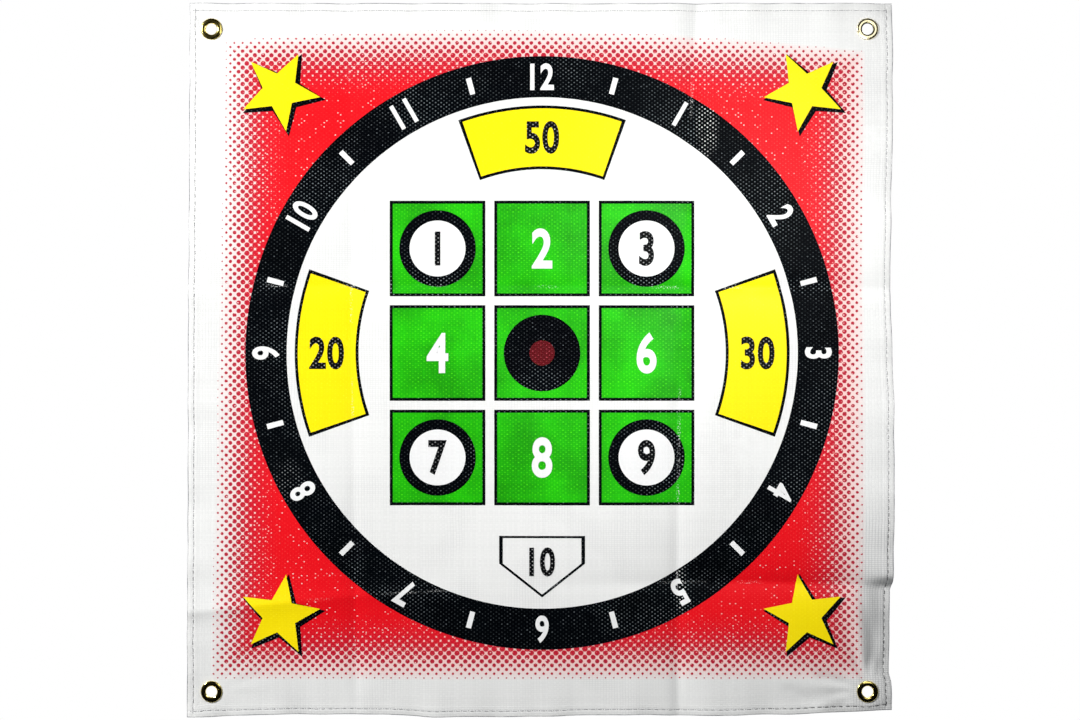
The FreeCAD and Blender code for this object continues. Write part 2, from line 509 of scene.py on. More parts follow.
@dataclass(frozen=True)
class Waves:
    """Sizes of the cloth's waves: the slow swell, a slanting one, the edges' ripples, and the pulls that
    fan out from each eyelet, whose count is of ridges in a whole turn and which are strong at the lower
    right."""

    swell: float = 1.5 * MM
    swell_across: float = 310 * MM
    swell_up: float = 420 * MM
    slant_swell: float = 0.9 * MM
    slant_length: float = 170 * MM
    slant_fade: float = 190 * MM
    ripple: float = 1.0 * MM
    ripple_length: float = 97 * MM
    ripple_reach: float = 22 * MM
    second_ripple: float = 0.43
    pull: float = 0.22 * MM
    pull_length: float = 34 * MM
    pull_count: int = 14
    weak_pull: float = 0.9
    strong_pull: float = 4.0


@dataclass(frozen=True)
class EdgeLine:
    """How far a side of the real sheet lies outside the plain square, with a slight waver. Each knot is a
    place along the side and the distance there, in millimetres."""

    knots: tuple[Place, ...]
    waver: float = 0.25 * MM
    waver_length: float = 63 * MM
    waver_shift: float = 50.0

    def outward(self, along: Array) -> Array:
        """Distance drawn evenly between the knots, plus a small sine."""
        places, distances = np.array(self.knots).T * MM
        sine = self.waver * np.sin(2 * math.pi * along / self.waver_length + places[0] * self.waver_shift)
        return np.interp(along, places, distances) + sine


@dataclass(frozen=True)
class Lean:
    """Stretch of a side's border that leans back: its start and end along the side, how far its edge lies
    behind the cloth, the lengths over which it sets in at both ends, and how far in from the edge it
    begins."""

    side: Side
    start: float
    end: float
    depth: float
    start_fade: float
    end_fade: float
    reach: float = 36 * MM

    def back(self, along: Array, inset: Array) -> Array:
        """Depth times a smooth step towards the edge, and a smooth step up and down at its two ends."""
        window = eased((along - self.start) / self.start_fade) * eased((self.end - along) / self.end_fade)
        return self.depth * window * eased(1 - inset / self.reach)


@dataclass(frozen=True)
class Crease:
    """Short straight dent in the cloth from one place to another, or a ridge where its depth is negative.
    At its reach from the line it is a third as deep."""

    start: Place
    end: Place
    depth: float
    reach: float

    def back(self, x: Array, z: Array) -> Array:
        """Depth times e to the minus square of (distance from the line between its ends, over reach)."""
        run = np.subtract(self.end, self.start)
        off_x, off_z = x - self.start[0], z - self.start[1]
        share = np.clip((off_x * run[0] + off_z * run[1]) / (run @ run), 0, 1)
        away = np.hypot(off_x - share * run[0], off_z - share * run[1])
        return self.depth * np.exp(-((away / self.reach) ** 2))


@dataclass(frozen=True)
class WornPlace:
    """Oval place where the ink is gone from the tapes' crowns, partly as lost ink and partly as a painted
    highlight: its middle, its reach across and up, and how bare it is.
    """

    middle: Place
    reach: Place
    strength: float


FOLDS = (
    Fold(level=False, place=-201 * MM, slant=-0.012, bow=0.0, start_depth=2.2 * MM, end_depth=0.6 * MM),
    Fold(level=False, place=151.2 * MM, slant=0.027, bow=0.056, start_depth=2.9 * MM, end_depth=2.4 * MM),
    Fold(level=True, place=79 * MM, slant=-0.004, bow=0.0, start_depth=1.2 * MM, end_depth=3.6 * MM),
    Fold(level=True, place=-241.3 * MM, slant=0.038, bow=-0.105, start_depth=-4.4 * MM, end_depth=5.6 * MM,
         reach=14 * MM),
)
LEANS = (
    Lean(Side.RIGHT, start=-366 * MM, end=-230 * MM, depth=9.0 * MM, start_fade=34 * MM, end_fade=16 * MM),
)
CREASES = (
    Crease((344 * MM, -252 * MM), (362 * MM, -316 * MM), depth=0.7 * MM, reach=6.0 * MM),
    Crease((338 * MM, -290 * MM), (348 * MM, -326 * MM), depth=-0.3 * MM, reach=4.5 * MM),
    Crease((304 * MM, -341 * MM), (330 * MM, -362 * MM), depth=1.2 * MM, reach=5.0 * MM),
    Crease((268 * MM, -352 * MM), (296 * MM, -369 * MM), depth=0.9 * MM, reach=5.0 * MM),
)
# The first and last places are painted highlights, glints on the black ring's crowns; the middle one is ink
# lost where a fold crosses the ring.
WORN_AND_SHEEN_PLACES = (
    WornPlace(middle=(180 * MM, 250 * MM), reach=(12 * MM, 32 * MM), strength=1.0),
    WornPlace(middle=(152 * MM, -243 * MM), reach=(6 * MM, 28 * MM), strength=0.6),
    WornPlace(middle=(-270 * MM, -130 * MM), reach=(18 * MM, 24 * MM), strength=0.35),
)
EDGE_LINES = {
    Side.LEFT: EdgeLine(((-380, 1.3), (-60, 0.4), (380, -1.8))),
    Side.RIGHT: EdgeLine((
        (-380, 1.4), (-345, 0.9), (-337, -0.7), (-300, -0.4), (-247, 0.5), (-239, 3.0), (-150, 3.9),
        (-40, 3.4), (25, 1.4), (75, -0.3), (190, 0.4), (235, 1.8), (330, 2.0), (380, 1.5),
    )),
    Side.TOP: EdgeLine(((-380, 0.4), (0, 0), (380, 0.5))),
    Side.BOTTOM: EdgeLine((
        (-380, 3.0), (-350, 2.6), (-300, 0.4), (-165, -0.2), (-118, 2.6), (-15, 2.7), (80, 0.6),
        (180, 1.4), (280, -0.6), (380, -4.6),
    )),
}


class Cloth:
    """The one surface that everything soft lies on. It is flat up to calm_radius from each eyelet's axis,
    and its waves set in over a reach outside that. The outline's unevenness goes drift_reach in from each
    edge."""

    calm_radius = 12 * MM
    calm_reach = 22 * MM
    drift_calm_reach = 12 * MM
    drift_reach = 45 * MM

    def __init__(self) -> None:
        """Takes the sheet's edges and the eyelets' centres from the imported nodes."""
        low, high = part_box("target_sheet")
        self.edge = {Side.LEFT: low[0], Side.RIGHT: high[0], Side.BOTTOM: low[2], Side.TOP: high[2]}
        self.eyelets = {corner: middle_of("eyelet_" + corner.label) for corner in Corner}
        self.waves = Waves()
        self.half = max(self.edge[Side.RIGHT], self.edge[Side.TOP])

    def inset(self, side: Side, x: Array, z: Array) -> Array:
        """Distance in from a side."""
        return np.abs(side.swapped(x, z)[1] - self.edge[side])

    def free(self, x: Array, z: Array, reach: float) -> Array:
        """0 where an eyelet clinches the cloth, rising smoothly to 1 over a reach outside it."""
        factor = np.ones_like(x)
        for centre_x, centre_z in self.eyelets.values():
            factor = factor * eased((np.hypot(x - centre_x, z - centre_z) - self.calm_radius) / reach)
        return factor

    def swell(self, x: Array, z: Array) -> Array:
        """Product of a slow sine across and one up, plus a slanting sine."""
        w = self.waves
        slow = np.sin(2 * math.pi * x / w.swell_across + 0.6) * np.sin(2 * math.pi * z / w.swell_up + 1.1)
        slanting = np.sin(2 * math.pi * (0.8 * x + 0.6 * z) / w.slant_length + 2.0)
        return w.swell * slow + w.slant_swell * slanting * np.cos(z / w.slant_fade)

    def ripple(self, x: Array, z: Array) -> Array:
        """Along each side two sines of the place along it, dying away inwards."""
        w = self.waves
        total = np.zeros_like(x)
        for number, side in enumerate(Side):
            along = side.swapped(x, z)[0]
            sines = np.sin(2 * math.pi * along / w.ripple_length + 1.7 * number)
            second = np.sin(2 * math.pi * along / (w.second_ripple * w.ripple_length) + 0.9 * number)
            total += w.ripple * (sines + 0.5 * second) * np.exp(-self.inset(side, x, z) / w.ripple_reach)
        return total

    def pull(self, x: Array, z: Array) -> Array:
        """Fan of ridges from each eyelet towards the middle: a cosine of the angle round it, strongest
        straight inwards, that rises and dies away with the distance from it."""
        w = self.waves
        total = np.zeros_like(x)
        for corner, (centre_x, centre_z) in self.eyelets.items():
            strength = w.strong_pull if corner is Corner.BOTTOM_RIGHT else w.weak_pull
            inward = -(corner.sign_x * (x - centre_x) + corner.sign_z * (z - centre_z))
            across = corner.sign_z * (x - centre_x) - corner.sign_x * (z - centre_z)
            angle = np.arctan2(across, inward)
            far = np.hypot(x - centre_x, z - centre_z) / w.pull_length
            ridges = np.cos(w.pull_count * angle) * np.clip(np.cos(angle), 0, 1)
            total += strength * w.pull * ridges * far * np.exp(1 - far)
        return total

    def lean(self, x: Array, z: Array) -> Array:
        """Stretches of border that lean back."""
        return sum(lean.back(lean.side.swapped(x, z)[0], self.inset(lean.side, x, z)) for lean in LEANS)

    def depth(self, x: Array, z: Array) -> Array:
        """How far the cloth lies behind its plane: everything above, but nothing at each eyelet."""
        folds = sum(fold.depth(x, z, self.half) for fold in FOLDS)
        creases = sum(crease.back(x, z) for crease in CREASES)
        waves = self.swell(x, z) + self.ripple(x, z) + self.pull(x, z) + self.lean(x, z)
        return (folds + creases + waves) * self.free(x, z, self.calm_reach)

    def drift(self, x: Array, z: Array) -> Grid:
        """Moves near each side that give the sheet its real, slightly uneven outline."""
        moves = {}
        for side in Side:
            near = 1 - eased(self.inset(side, x, z) / self.drift_reach)
            outward = EDGE_LINES[side].outward(side.swapped(x, z)[0])
            moves[side] = outward * near * self.free(x, z, self.drift_calm_reach)
        return moves[Side.RIGHT] - moves[Side.LEFT], moves[Side.TOP] - moves[Side.BOTTOM]

    def place(self, x: Array, z: Array, behind: Array | float = 0.0) -> Array:
        """Places in space of points given on the flat cloth.

        Args:
            x: places across the flat cloth.
            z: places up the flat cloth.
            behind: how far each point lies behind the middle of the cloth.

        Returns:
            An array with X, Y and Z along its last axis.
        """
        drift_x, drift_z = self.drift(x, z)
        return np.stack([x + drift_x, self.depth(x, z) + behind, z + drift_z], axis=-1)


# Effects, each a shader node group that several finishes may use


@dataclass(frozen=True)
class Weave:
    """Plain weave of flat tapes, whose width is across for an upright tape and up for a level one. They
    stray from even rows by a share of that, and fall away at their edges. An upright tape's crown is a
    small oval that differs from crown to crown, and a few of them are rare ones."""

    across: float = 2.98 * MM
    up: float = 2.165 * MM
    stray: float = 0.7
    stray_size: float = 30 * MM
    edge_power: float = 6.0
    edge_drop: float = 0.8
    crown_width: float = 0.30
    crown_height: float = 0.34
    crown_rim: Fade = Fade(1.15, 0.25)
    crown_shares: Fade = Fade(0.0, 0.75, 0.25, 1.0)
    rare_share: Fade = Fade(0.86, 0.96)
    upright_row: float = 11.0
    level_row: float = 7.0

    def arch(self, part: Field) -> Field:
        """Sine over half a turn."""
        return (part * math.pi).sine()

    def edge(self, part: Field) -> Field:
        """Near 0 over a tape's width and 1 at its edges: a high power of the distance from its middle."""
        return abs(part * 2.0 - 1.0) ** self.edge_power

    def group(self) -> Tree:
        """Group with the tapes' height, the crowns of the upright ones, the few rare ones of those, the gaps
        between tapes and a tone that differs from tape to tape."""
        graph = Group("woven tapes")
        x, z, _ = graph.split(graph.vector)
        stray = (graph.noise(graph.vector, self.stray_size) - 0.5) * self.stray
        column, row = x / self.across + stray, z / self.up + stray
        part_x, part_z = column.fraction(), row.fraction()
        whole_x, whole_z = column.floor(), row.floor()
        upright = (whole_x + whole_z) % 2.0

        edge_x, edge_z = self.edge(part_x), self.edge(part_z)
        upright_height = self.arch(part_z) * (1.0 - edge_x * self.edge_drop)
        level_height = self.arch(part_x) * (1.0 - edge_z * self.edge_drop)
        height = (upright_height - level_height) * upright + level_height

        off_middle = square_sum((part_x - 0.5) / self.crown_width, (part_z - 0.5) / self.crown_height)
        spot = off_middle.faded(self.crown_rim) * upright
        chance = graph.chance(whole_x, whole_z)
        upright_tone = graph.chance(whole_x, self.upright_row)
        level_tone = graph.chance(self.level_row, whole_z)
        return graph.complete(
            height=height,
            crown=spot * chance.faded(self.crown_shares),
            rare=spot * chance.faded(self.rare_share),
            gap=edge_x.at_least(edge_z),
            tone=(upright_tone - level_tone) * upright + level_tone,
        )


@dataclass(frozen=True)
class HemMarks:
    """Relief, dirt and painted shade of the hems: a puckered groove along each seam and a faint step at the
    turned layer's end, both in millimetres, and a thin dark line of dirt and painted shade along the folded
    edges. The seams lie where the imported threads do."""

    cloth: Cloth
    groove: Fade = Fade(2.4 * MM, 0.0)
    groove_depth: float = 0.17
    pucker: float = 0.08
    step: float = 0.12
    step_reach: float = 0.5 * MM
    soil: Fade = Fade(1.0 * MM, 0.35 * MM)
    soil_patches: Patches = Patches(26 * MM, Fade(0.36, 0.60, 0.35, 1.0), detail=3.0)

    def group(self) -> Tree:
        """Group with a height in millimetres and a mask of the dark line of dirt and painted shade along the
        folded edges.
        """
        graph = Group("hem marks")
        x, z, _ = graph.split(graph.vector)
        grooves, insets = [], []
        for side in Side:
            along, across = side.swapped(x, z)
            seam = side.swapped(*middle_of("needle_thread_" + side.value))[1]
            wave = (along * (2 * math.pi / STITCH_PITCH)).cosine()
            grooves.append(abs(across - seam).faded(self.groove) * (wave * self.pucker - self.groove_depth))
            insets.append(abs(across - self.cloth.edge[side]))
        nearest = reduce(Field.at_most, insets)
        turned = nearest.faded(Fade(HEM_DEPTH + self.step_reach, HEM_DEPTH - self.step_reach))
        # Dark line along the folded edges, in patches: dirt and painted shade where the cloth turns away.
        return graph.complete(
            height=turned * self.step + sum(grooves),
            soil=nearest.faded(self.soil) * graph.patches(graph.vector, self.soil_patches),
        )


@dataclass(frozen=True)
class FoldWear:
    """Marks of packing and handling, with painted sheen: thin, broken cracks along the folds, rubbing round
    them that is also painted sheen, and oval places where the ink is gone from the tapes' crowns, partly as
    painted highlight."""

    crack: Fade = Fade(2.4 * MM, 0.3 * MM)
    crack_breaks: Patches = Patches(1.6 * MM, Fade(0.55, 0.64), detail=3.0)
    crack_patches: Patches = Patches(60 * MM, Fade(0.50, 0.66), detail=1.0)
    rub: Fade = Fade(16 * MM, 0.0)
    rub_patches: Patches = Patches(18 * MM, Fade(0.3, 0.7))
    oval_rim: float = 1.6
    oval_middle: float = 0.2

    def oval(self, x: Field, z: Field, worn: WornPlace) -> Field:
        """Mask of one oval place: smooth step of the squared distance from its middle over its reach."""
        off_middle = square_sum((x - worn.middle[0]) / worn.reach[0], (z - worn.middle[1]) / worn.reach[1])
        return off_middle.faded(Fade(self.oval_rim, self.oval_middle, 0.0, worn.strength))

    def group(self) -> Tree:
        """Group with the masks of cracks, of rubbing and painted sheen, and of the oval places of lost ink
        and painted highlight.
        """
        graph = Group("fold wear")
        x, z, _ = graph.split(graph.vector)
        nearest = reduce(Field.at_most, [abs(fold.distance(x, z)) for fold in FOLDS])
        broken = graph.patches(graph.vector, self.crack_breaks)
        return graph.complete(
            crack=nearest.faded(self.crack) * broken * graph.patches(graph.vector, self.crack_patches),
            # Rubbing round the folds, also painted sheen where it lightens the black inks' crowns.
            rub=nearest.faded(self.rub) * graph.patches(graph.vector, self.rub_patches),
            worn=reduce(Field.at_least, [self.oval(x, z, worn) for worn in WORN_AND_SHEEN_PLACES]),
        )


@dataclass(frozen=True)
class Halftone:
    """Round dots on a lattice turned by 45 degrees, which grow from nothing until they join. Their radius
    at full cover, and how ragged they are, are shares of the spacing between neighbouring dots."""

    spacing: float = 6.25 * MM
    full_radius: float = 0.76
    ragged: float = 0.16
    ragged_size: float = 1.6 * MM
    rim: Fade = Fade(0.03, -0.05)
    first: Fade = Fade(0.05, 0.12)

    def group(self) -> Tree:
        """Group that takes a cover from 0 to 1 and puts out the dots' mask."""
        graph = Group("halftone", "Cover")
        cover = graph.amounts[0]
        x, z, _ = graph.split(graph.vector)
        diagonal = self.spacing * math.sqrt(2)
        places = [((x + z) / diagonal).fraction() - 0.5, ((z - x) / diagonal).fraction() - 0.5]
        stray = (graph.noise(graph.vector, self.ragged_size) - 0.5) * self.ragged
        beyond = square_sum(*places).root() + stray - cover * self.full_radius
        return graph.complete(dots=beyond.faded(self.rim) * cover.faded(self.first))


@dataclass(frozen=True)
class Grime:
    """Faint handling dirt: two sizes of cloudy noise, multiplied."""

    broad: Patches = Patches(160 * MM, Fade(0.42, 0.75), detail=3.0)
    fine: Patches = Patches(9 * MM, Fade(0.35, 0.8), detail=4.0)

    def group(self) -> Tree:
        """Group with the dirt's mask."""
        graph = Group("grime")
        broad, fine = graph.patches(graph.vector, self.broad), graph.patches(graph.vector, self.fine)
        return graph.complete(mask=broad * fine)


@dataclass(frozen=True)
class Tarnish:
    """Dull film on brass, in patches of noise that spread with its amount."""

    size: float = 5 * MM
    detail: float = 4.0
    rim: Fade = Fade(0.55, 1.05)

    def group(self) -> Tree:
        """Group that takes an amount and puts out the film's mask."""
        graph = Group("tarnish", "Amount")
        film = graph.noise(graph.vector, self.size, self.detail) + graph.amounts[0]
        return graph.complete(mask=film.faded(self.rim))


@dataclass(frozen=True)
class Effects:
    """The shader node groups, each built once."""

    weave: Tree
    hem: Tree
    wear: Tree
    halftone: Tree
    grime: Tree
    tarnish: Tree

    @classmethod
    def make(cls, cloth: Cloth) -> "Effects":
        """Builds every group for a cloth."""
        kinds = (Weave(), HemMarks(cloth), FoldWear(), Halftone(), Grime(), Tarnish())
        return cls(*(kind.group() for kind in kinds))


# Finishes

TAPE_WHITE: Colour = (0.80, 0.80, 0.785)
# Colour of the dark line along the hems' folded edges: dirt and painted shade.
SOIL_AND_SHADE: Colour = (0.10, 0.10, 0.13)


def toned(colour: Colour, share: float) -> Colour:
    """Colour times a share, no brighter than white."""
    return tuple(min(1.0, part * share) for part in colour)


@dataclass(frozen=True)
class Ink:
    """Ink on the woven cloth. On the tapes' crowns a second colour shows by a strength, more in patches, and
    most as specks on the few crowns that the ink missed: partly bare tape and partly a painted highlight on
    the raised crowns. Its tone is cloudy over the sheet, and swings between a lighter and a darker share of
    its colour."""

    name: str
    colour: Colour
    void: Colour
    void_strength: float
    void_patches: float = 0.0
    specks: float = 0.8
    roughness: float = 0.42
    cloudy: float = 0.12
    swing: float = 1.0
    gloss: float = 0.12
    relief: float = 0.09 * MM
    lighter: float = 0.35
    darker: float = 0.38
    tape_tones: float = 0.22
    gap_shade: float = 0.3
    crown_shine: float = 0.14
    rub_dull: float = 0.1

    def voids(self, graph: Graph, chart: Field, weave: dict[str, Field], wear: dict[str, Field]) -> Field:
        """Mask of the crowns that show their second colour, partly bare tape and partly painted highlight:
        all of them a little, more in patches, round the folds where rubbing and painted sheen lie, in the
        oval places, and the few that it missed.

        Args:
            graph: the material being built.
            chart: places on the flat cloth.
            weave: what the weave's group puts out.
            wear: what the group of fold marks and painted sheen puts out.

        Returns:
            The mask.
        """
        # Painted highlight: the crowns' second colour, strongest on the black inks, stands for glints of
        # light as well as bare tape.
        patches = graph.patches(chart, Patches(110 * MM, Fade(0.46, 0.66, 0.0, self.void_patches)))
        strength = patches + self.void_strength + wear["Rub"] * (1.5 * self.void_patches) + wear["Worn"]
        return (weave["Crown"] * strength).at_least(weave["Rare"] * self.specks)

    def material(self, effects: Effects) -> Material:
        """Builds the ink's material."""
        graph = Surface(self.name)
        chart = graph.chart()
        weave, wear = graph.effect(effects.weave, vector=chart), graph.effect(effects.wear, vector=chart)
        light = toned(self.colour, 1 + self.lighter * self.swing)
        dark = toned(self.colour, 1 - self.darker * self.swing)
        clouds = graph.patches(chart, Patches(70 * MM, Fade(0.3, 0.7, -self.cloudy, self.cloudy), detail=3.0))
        whole = graph.mix(clouds + 0.5 + (weave["Tone"] - 0.5) * self.tape_tones, dark, light)
        # In the oval places the crowns turn to bare tape white, which is partly a painted highlight.
        seen = graph.mix(wear["Worn"], self.void, TAPE_WHITE)
        inked = graph.mix(self.voids(graph, chart, weave, wear), whole, seen)
        shaded = graph.mix(weave["Gap"] * self.gap_shade, inked, dark)
        return graph.complete({
            "Base Color": graph.mix(wear["Crack"], shaded, TAPE_WHITE),
            "Roughness": self.roughness - weave["Crown"] * self.crown_shine + wear["Rub"] * self.rub_dull,
            "Specular IOR Level": self.gloss,
            "Normal": graph.relief(weave["Height"], self.relief),
        })


# Most inks' crown colours are lighter than the ink: partly bare tape, partly a painted highlight on the
# raised crowns.
BLACK = Ink("black ink", (0.0004, 0.0010, 0.0019), void=(0.30, 0.34, 0.36), void_strength=0.10,
            void_patches=0.40, specks=0.30, cloudy=0.25, gloss=0.02)
GREEN = Ink("green ink", (0.012, 0.42, 0.001), void=(0.09, 0.80, 0.008), void_strength=0.50, cloudy=0.40)
YELLOW = Ink("yellow ink", (1.0, 0.76, 0.001), void=(1.0, 0.84, 0.02), void_strength=0.3, cloudy=0.05,
             swing=0.25)
RED = Ink("dark red ink", (0.10, 0.001, 0.004), void=(0.45, 0.06, 0.08), void_strength=0.5)
WHITE = Ink("white ink", (0.82, 0.82, 0.815), void=TAPE_WHITE, void_strength=0.3, cloudy=0.03, swing=0.3)
DIGIT_BLACK = Ink("black digit ink", (0.0010, 0.0014, 0.0020), void=(0.60, 0.60, 0.60), void_strength=0.45,
                  void_patches=0.2, cloudy=0.2, gloss=0.05)


@dataclass(frozen=True)
class PrintedSquare:
    """Where the red halftone lies: a square with round corners, whose half width and half height reach to
    its first dots. The dots have joined at the full distance in from there, and leave a round field clear
    in the middle. The left edge leans in by its slant for each metre up, and the top edge bows in for each
    square metre from its top_middle."""

    centre: Place = (1.8 * MM, 6.0 * MM)
    half_width: float = 346.9 * MM
    half_height: float = 348.8 * MM
    full: float = 76 * MM
    clear_radius: float = 296 * MM
    clear_rim: float = 1 * MM
    left_slant: float = 0.0233
    top_bow: float = 0.141
    top_middle: float = -53 * MM
    corner: float = 6 * MM

    def cover(self, x: Field, z: Field) -> Field:
        """Share of the ground that is inked: square root of the distance in from the edge over that at which
        the dots join. The edge leans at the left and bows at the top."""
        off_x, off_z = abs(x - self.centre[0]), abs(z - self.centre[1])
        aside = x - self.top_middle
        beyond_x = off_x - self.half_width + x.below(0.0) * z * self.left_slant
        beyond_z = off_z - self.half_height + z.above(0.0) * aside * aside * self.top_bow
        inward = x.graph.math("SMOOTH_MAX", beyond_x, beyond_z, self.corner) * -1.0
        return (inward / self.full).at_least(0.0).root()

    def outside_clear(self, x: Field, z: Field) -> Field:
        """Mask of what lies outside the clear field."""
        radius = square_sum(x - self.centre[0], z - self.centre[1]).root()
        return radius.faded(Fade(self.clear_radius - self.clear_rim, self.clear_radius))


@dataclass(frozen=True)
class CornerPatch:
    """Soft-edged patch at a corner of the sheet, from a smooth step across and one up."""

    across: Fade
    up: Fade

    def mask(self, x: Field, z: Field) -> Field:
        """Product of the two steps."""
        return x.faded(self.across) * z.faded(self.up)


# Painted shade: the corner at the sheet's lower right where the thread and the painted shadows between
# stitches darken.
SHADED_SEAM_CORNER = CornerPatch(Fade(190 * MM, 300 * MM), Fade(-110 * MM, -200 * MM))


@dataclass(frozen=True)
class ClothSide:
    """What both sides of the cloth share: tapes whose tones lie between a dark and a light share of their
    white, handling dirt, darker gaps, smoother crowns, the hems' relief, and a dark line of dirt and painted
    shade along the folded edges."""

    dark_tape: float
    light_tape: float
    dirt: float
    dirt_colour: Colour
    gap_colour: Colour
    roughness: float
    crown_shine: float
    gloss: float
    relief: float

    def tapes(self, graph: Graph, chart: Field, weave: dict[str, Field], gaps: Field | float,
              effects: Effects) -> Field:
        """Colours the bare tapes, their dirt and their gaps.

        Args:
            graph: the material being built.
            chart: places on the flat cloth.
            weave: what the weave's group puts out.
            gaps: how dark the gaps are, as a share.
            effects: the shader node groups.

        Returns:
            The colour.
        """
        grime = graph.effect(effects.grime, vector=chart)
        dark, light = toned(TAPE_WHITE, self.dark_tape), toned(TAPE_WHITE, self.light_tape)
        dirty = graph.mix(grime["Mask"] * self.dirt, graph.mix(weave["Tone"], dark, light), self.dirt_colour)
        return graph.mix(weave["Gap"] * gaps, dirty, self.gap_colour)

    def complete(self, graph: Surface, chart: Field, weave: dict[str, Field], colour: Field,
                 effects: Effects) -> Material:
        """Soils the edges and finishes the material of one side.

        Args:
            graph: the material being built.
            chart: places on the flat cloth.
            weave: what the weave's group puts out.
            colour: the side's colour without the dark line along the folded edges.
            effects: the shader node groups.

        Returns:
            The material.
        """
        hem = graph.effect(effects.hem, vector=chart)
        hem_relief = graph.relief(hem["Height"], 1 * MM)
        # The folded edges darken with dirt and painted shade.
        return graph.complete({
            "Base Color": graph.mix(hem["Soil"], colour, SOIL_AND_SHADE),
            "Roughness": self.roughness - weave["Crown"] * self.crown_shine,
            "Specular IOR Level": self.gloss,
            "Normal": graph.relief(weave["Height"], self.relief, hem_relief),
        })


@dataclass(frozen=True)
class PrintedCloth(ClothSide):
    """The sheet's front: bare white tapes, with a red halftone that fades out towards the hems, lighter on
    the raised crowns as painted highlight. The ground between its dots is tinted, paler towards the left edge
    as painted light. More crowns stay bare in patches and at the right, and gaps show in patches and, as
    painted shade, darker at the lower right."""

    dark_tape: float = 0.97
    light_tape: float = 1.02
    dirt: float = 0.10
    dirt_colour: Colour = (0.42, 0.40, 0.37)
    gap_colour: Colour = (0.40, 0.40, 0.41)
    roughness: float = 0.46
    crown_shine: float = 0.1
    gloss: float = 0.12
    relief: float = 0.09 * MM
    square: PrintedSquare = PrintedSquare()
    edge_red: Colour = (0.42, 0.012, 0.035)
    full_red: Colour = (0.78, 0.002, 0.008)
    # Painted highlight: the raised crowns take this lighter red.
    crown_red: Colour = (0.95, 0.035, 0.032)
    crown_share: float = 0.4
    red_growth: Fade = Fade(0.45, 1.0)
    tint: Colour = (0.86, 0.54, 0.51)
    tint_growth: Fade = Fade(0.0, 0.65, 0.0, 0.92)
    # Painted light: the tint fades to half towards the left edge.
    left_tint: Fade = Fade(-335 * MM, -280 * MM, 0.5, 1.0)
    missed: Patches = Patches(120 * MM, Fade(0.42, 0.62, 0.15, 0.75), detail=1.0)
    right_missed: Fade = Fade(230 * MM, 320 * MM)
    bare_share: Fade = Fade(0.35, 1.0, 0.95, 0.06)
    gap_patches: Patches = Patches(75 * MM, Fade(0.46, 0.62, 0.10, 0.36), detail=1.0)
    # Painted shade: gaps between tapes darken at the lower right, where light grazes the weave.
    grazed: CornerPatch = CornerPatch(Fade(316 * MM, 345 * MM), Fade(-110 * MM, -230 * MM))
    grazed_share: float = 0.75
    crack_share: float = 0.7

    def material(self, effects: Effects) -> Material:
        """Builds the front's material: bare tapes, tinted, then dots, then cracks and soil."""
        graph = Surface("printed cloth")
        chart = graph.chart()
        x, z, _ = graph.split(chart)
        weave, wear = graph.effect(effects.weave, vector=chart), graph.effect(effects.wear, vector=chart)
        # Gaps darken in patches, and at the lower right as painted shade.
        gaps = graph.patches(chart, self.gap_patches) + self.grazed.mask(x, z) * self.grazed_share
        tapes = self.tapes(graph, chart, weave, gaps, effects)

        cover, printed = self.square.cover(x, z), self.square.outside_clear(x, z)
        # Painted light: the tint is paler towards the left edge.
        tint = cover.faded(self.tint_growth) * printed * x.faded(self.left_tint)
        missed = graph.patches(chart, self.missed).at_least(x.faded(self.right_missed))
        bare = weave["Crown"] * missed * cover.faded(self.bare_share)
        halftone = graph.effect(effects.halftone, vector=chart, cover=cover)
        dots = halftone["Dots"] * printed * (1.0 - bare.at_least(weave["Rare"]))
        red = graph.mix(cover.faded(self.red_growth), self.edge_red, self.full_red)
        # Painted highlight: lighter red on the raised crowns.
        red = graph.mix(weave["Crown"] * self.crown_share, red, self.crown_red)
        inked = graph.mix(dots, graph.mix(tint, tapes, self.tint), red)
        cracked = graph.mix(wear["Crack"] * self.crack_share, inked, TAPE_WHITE)
        return self.complete(graph, chart, weave, cracked, effects)


@dataclass(frozen=True)
class BareCloth(ClothSide):
    """Unprinted side of the cloth, with gaps between its tapes that are as dark as a share says."""

    dark_tape: float = 0.90
    light_tape: float = 1.0
    dirt: float = 0.16
    dirt_colour: Colour = (0.40, 0.38, 0.34)
    gap_colour: Colour = (0.36, 0.36, 0.37)
    roughness: float = 0.5
    crown_shine: float = 0.08
    gloss: float = 0.25
    relief: float = 0.1 * MM
    gaps: float = 0.30

    def material(self, effects: Effects) -> Material:
        """Builds the bare cloth's material."""
        graph = Surface("bare cloth")
        chart = graph.chart()
        weave = graph.effect(effects.weave, vector=chart)
        tapes = self.tapes(graph, chart, weave, self.gaps, effects)
        return self.complete(graph, chart, weave, tapes, effects)


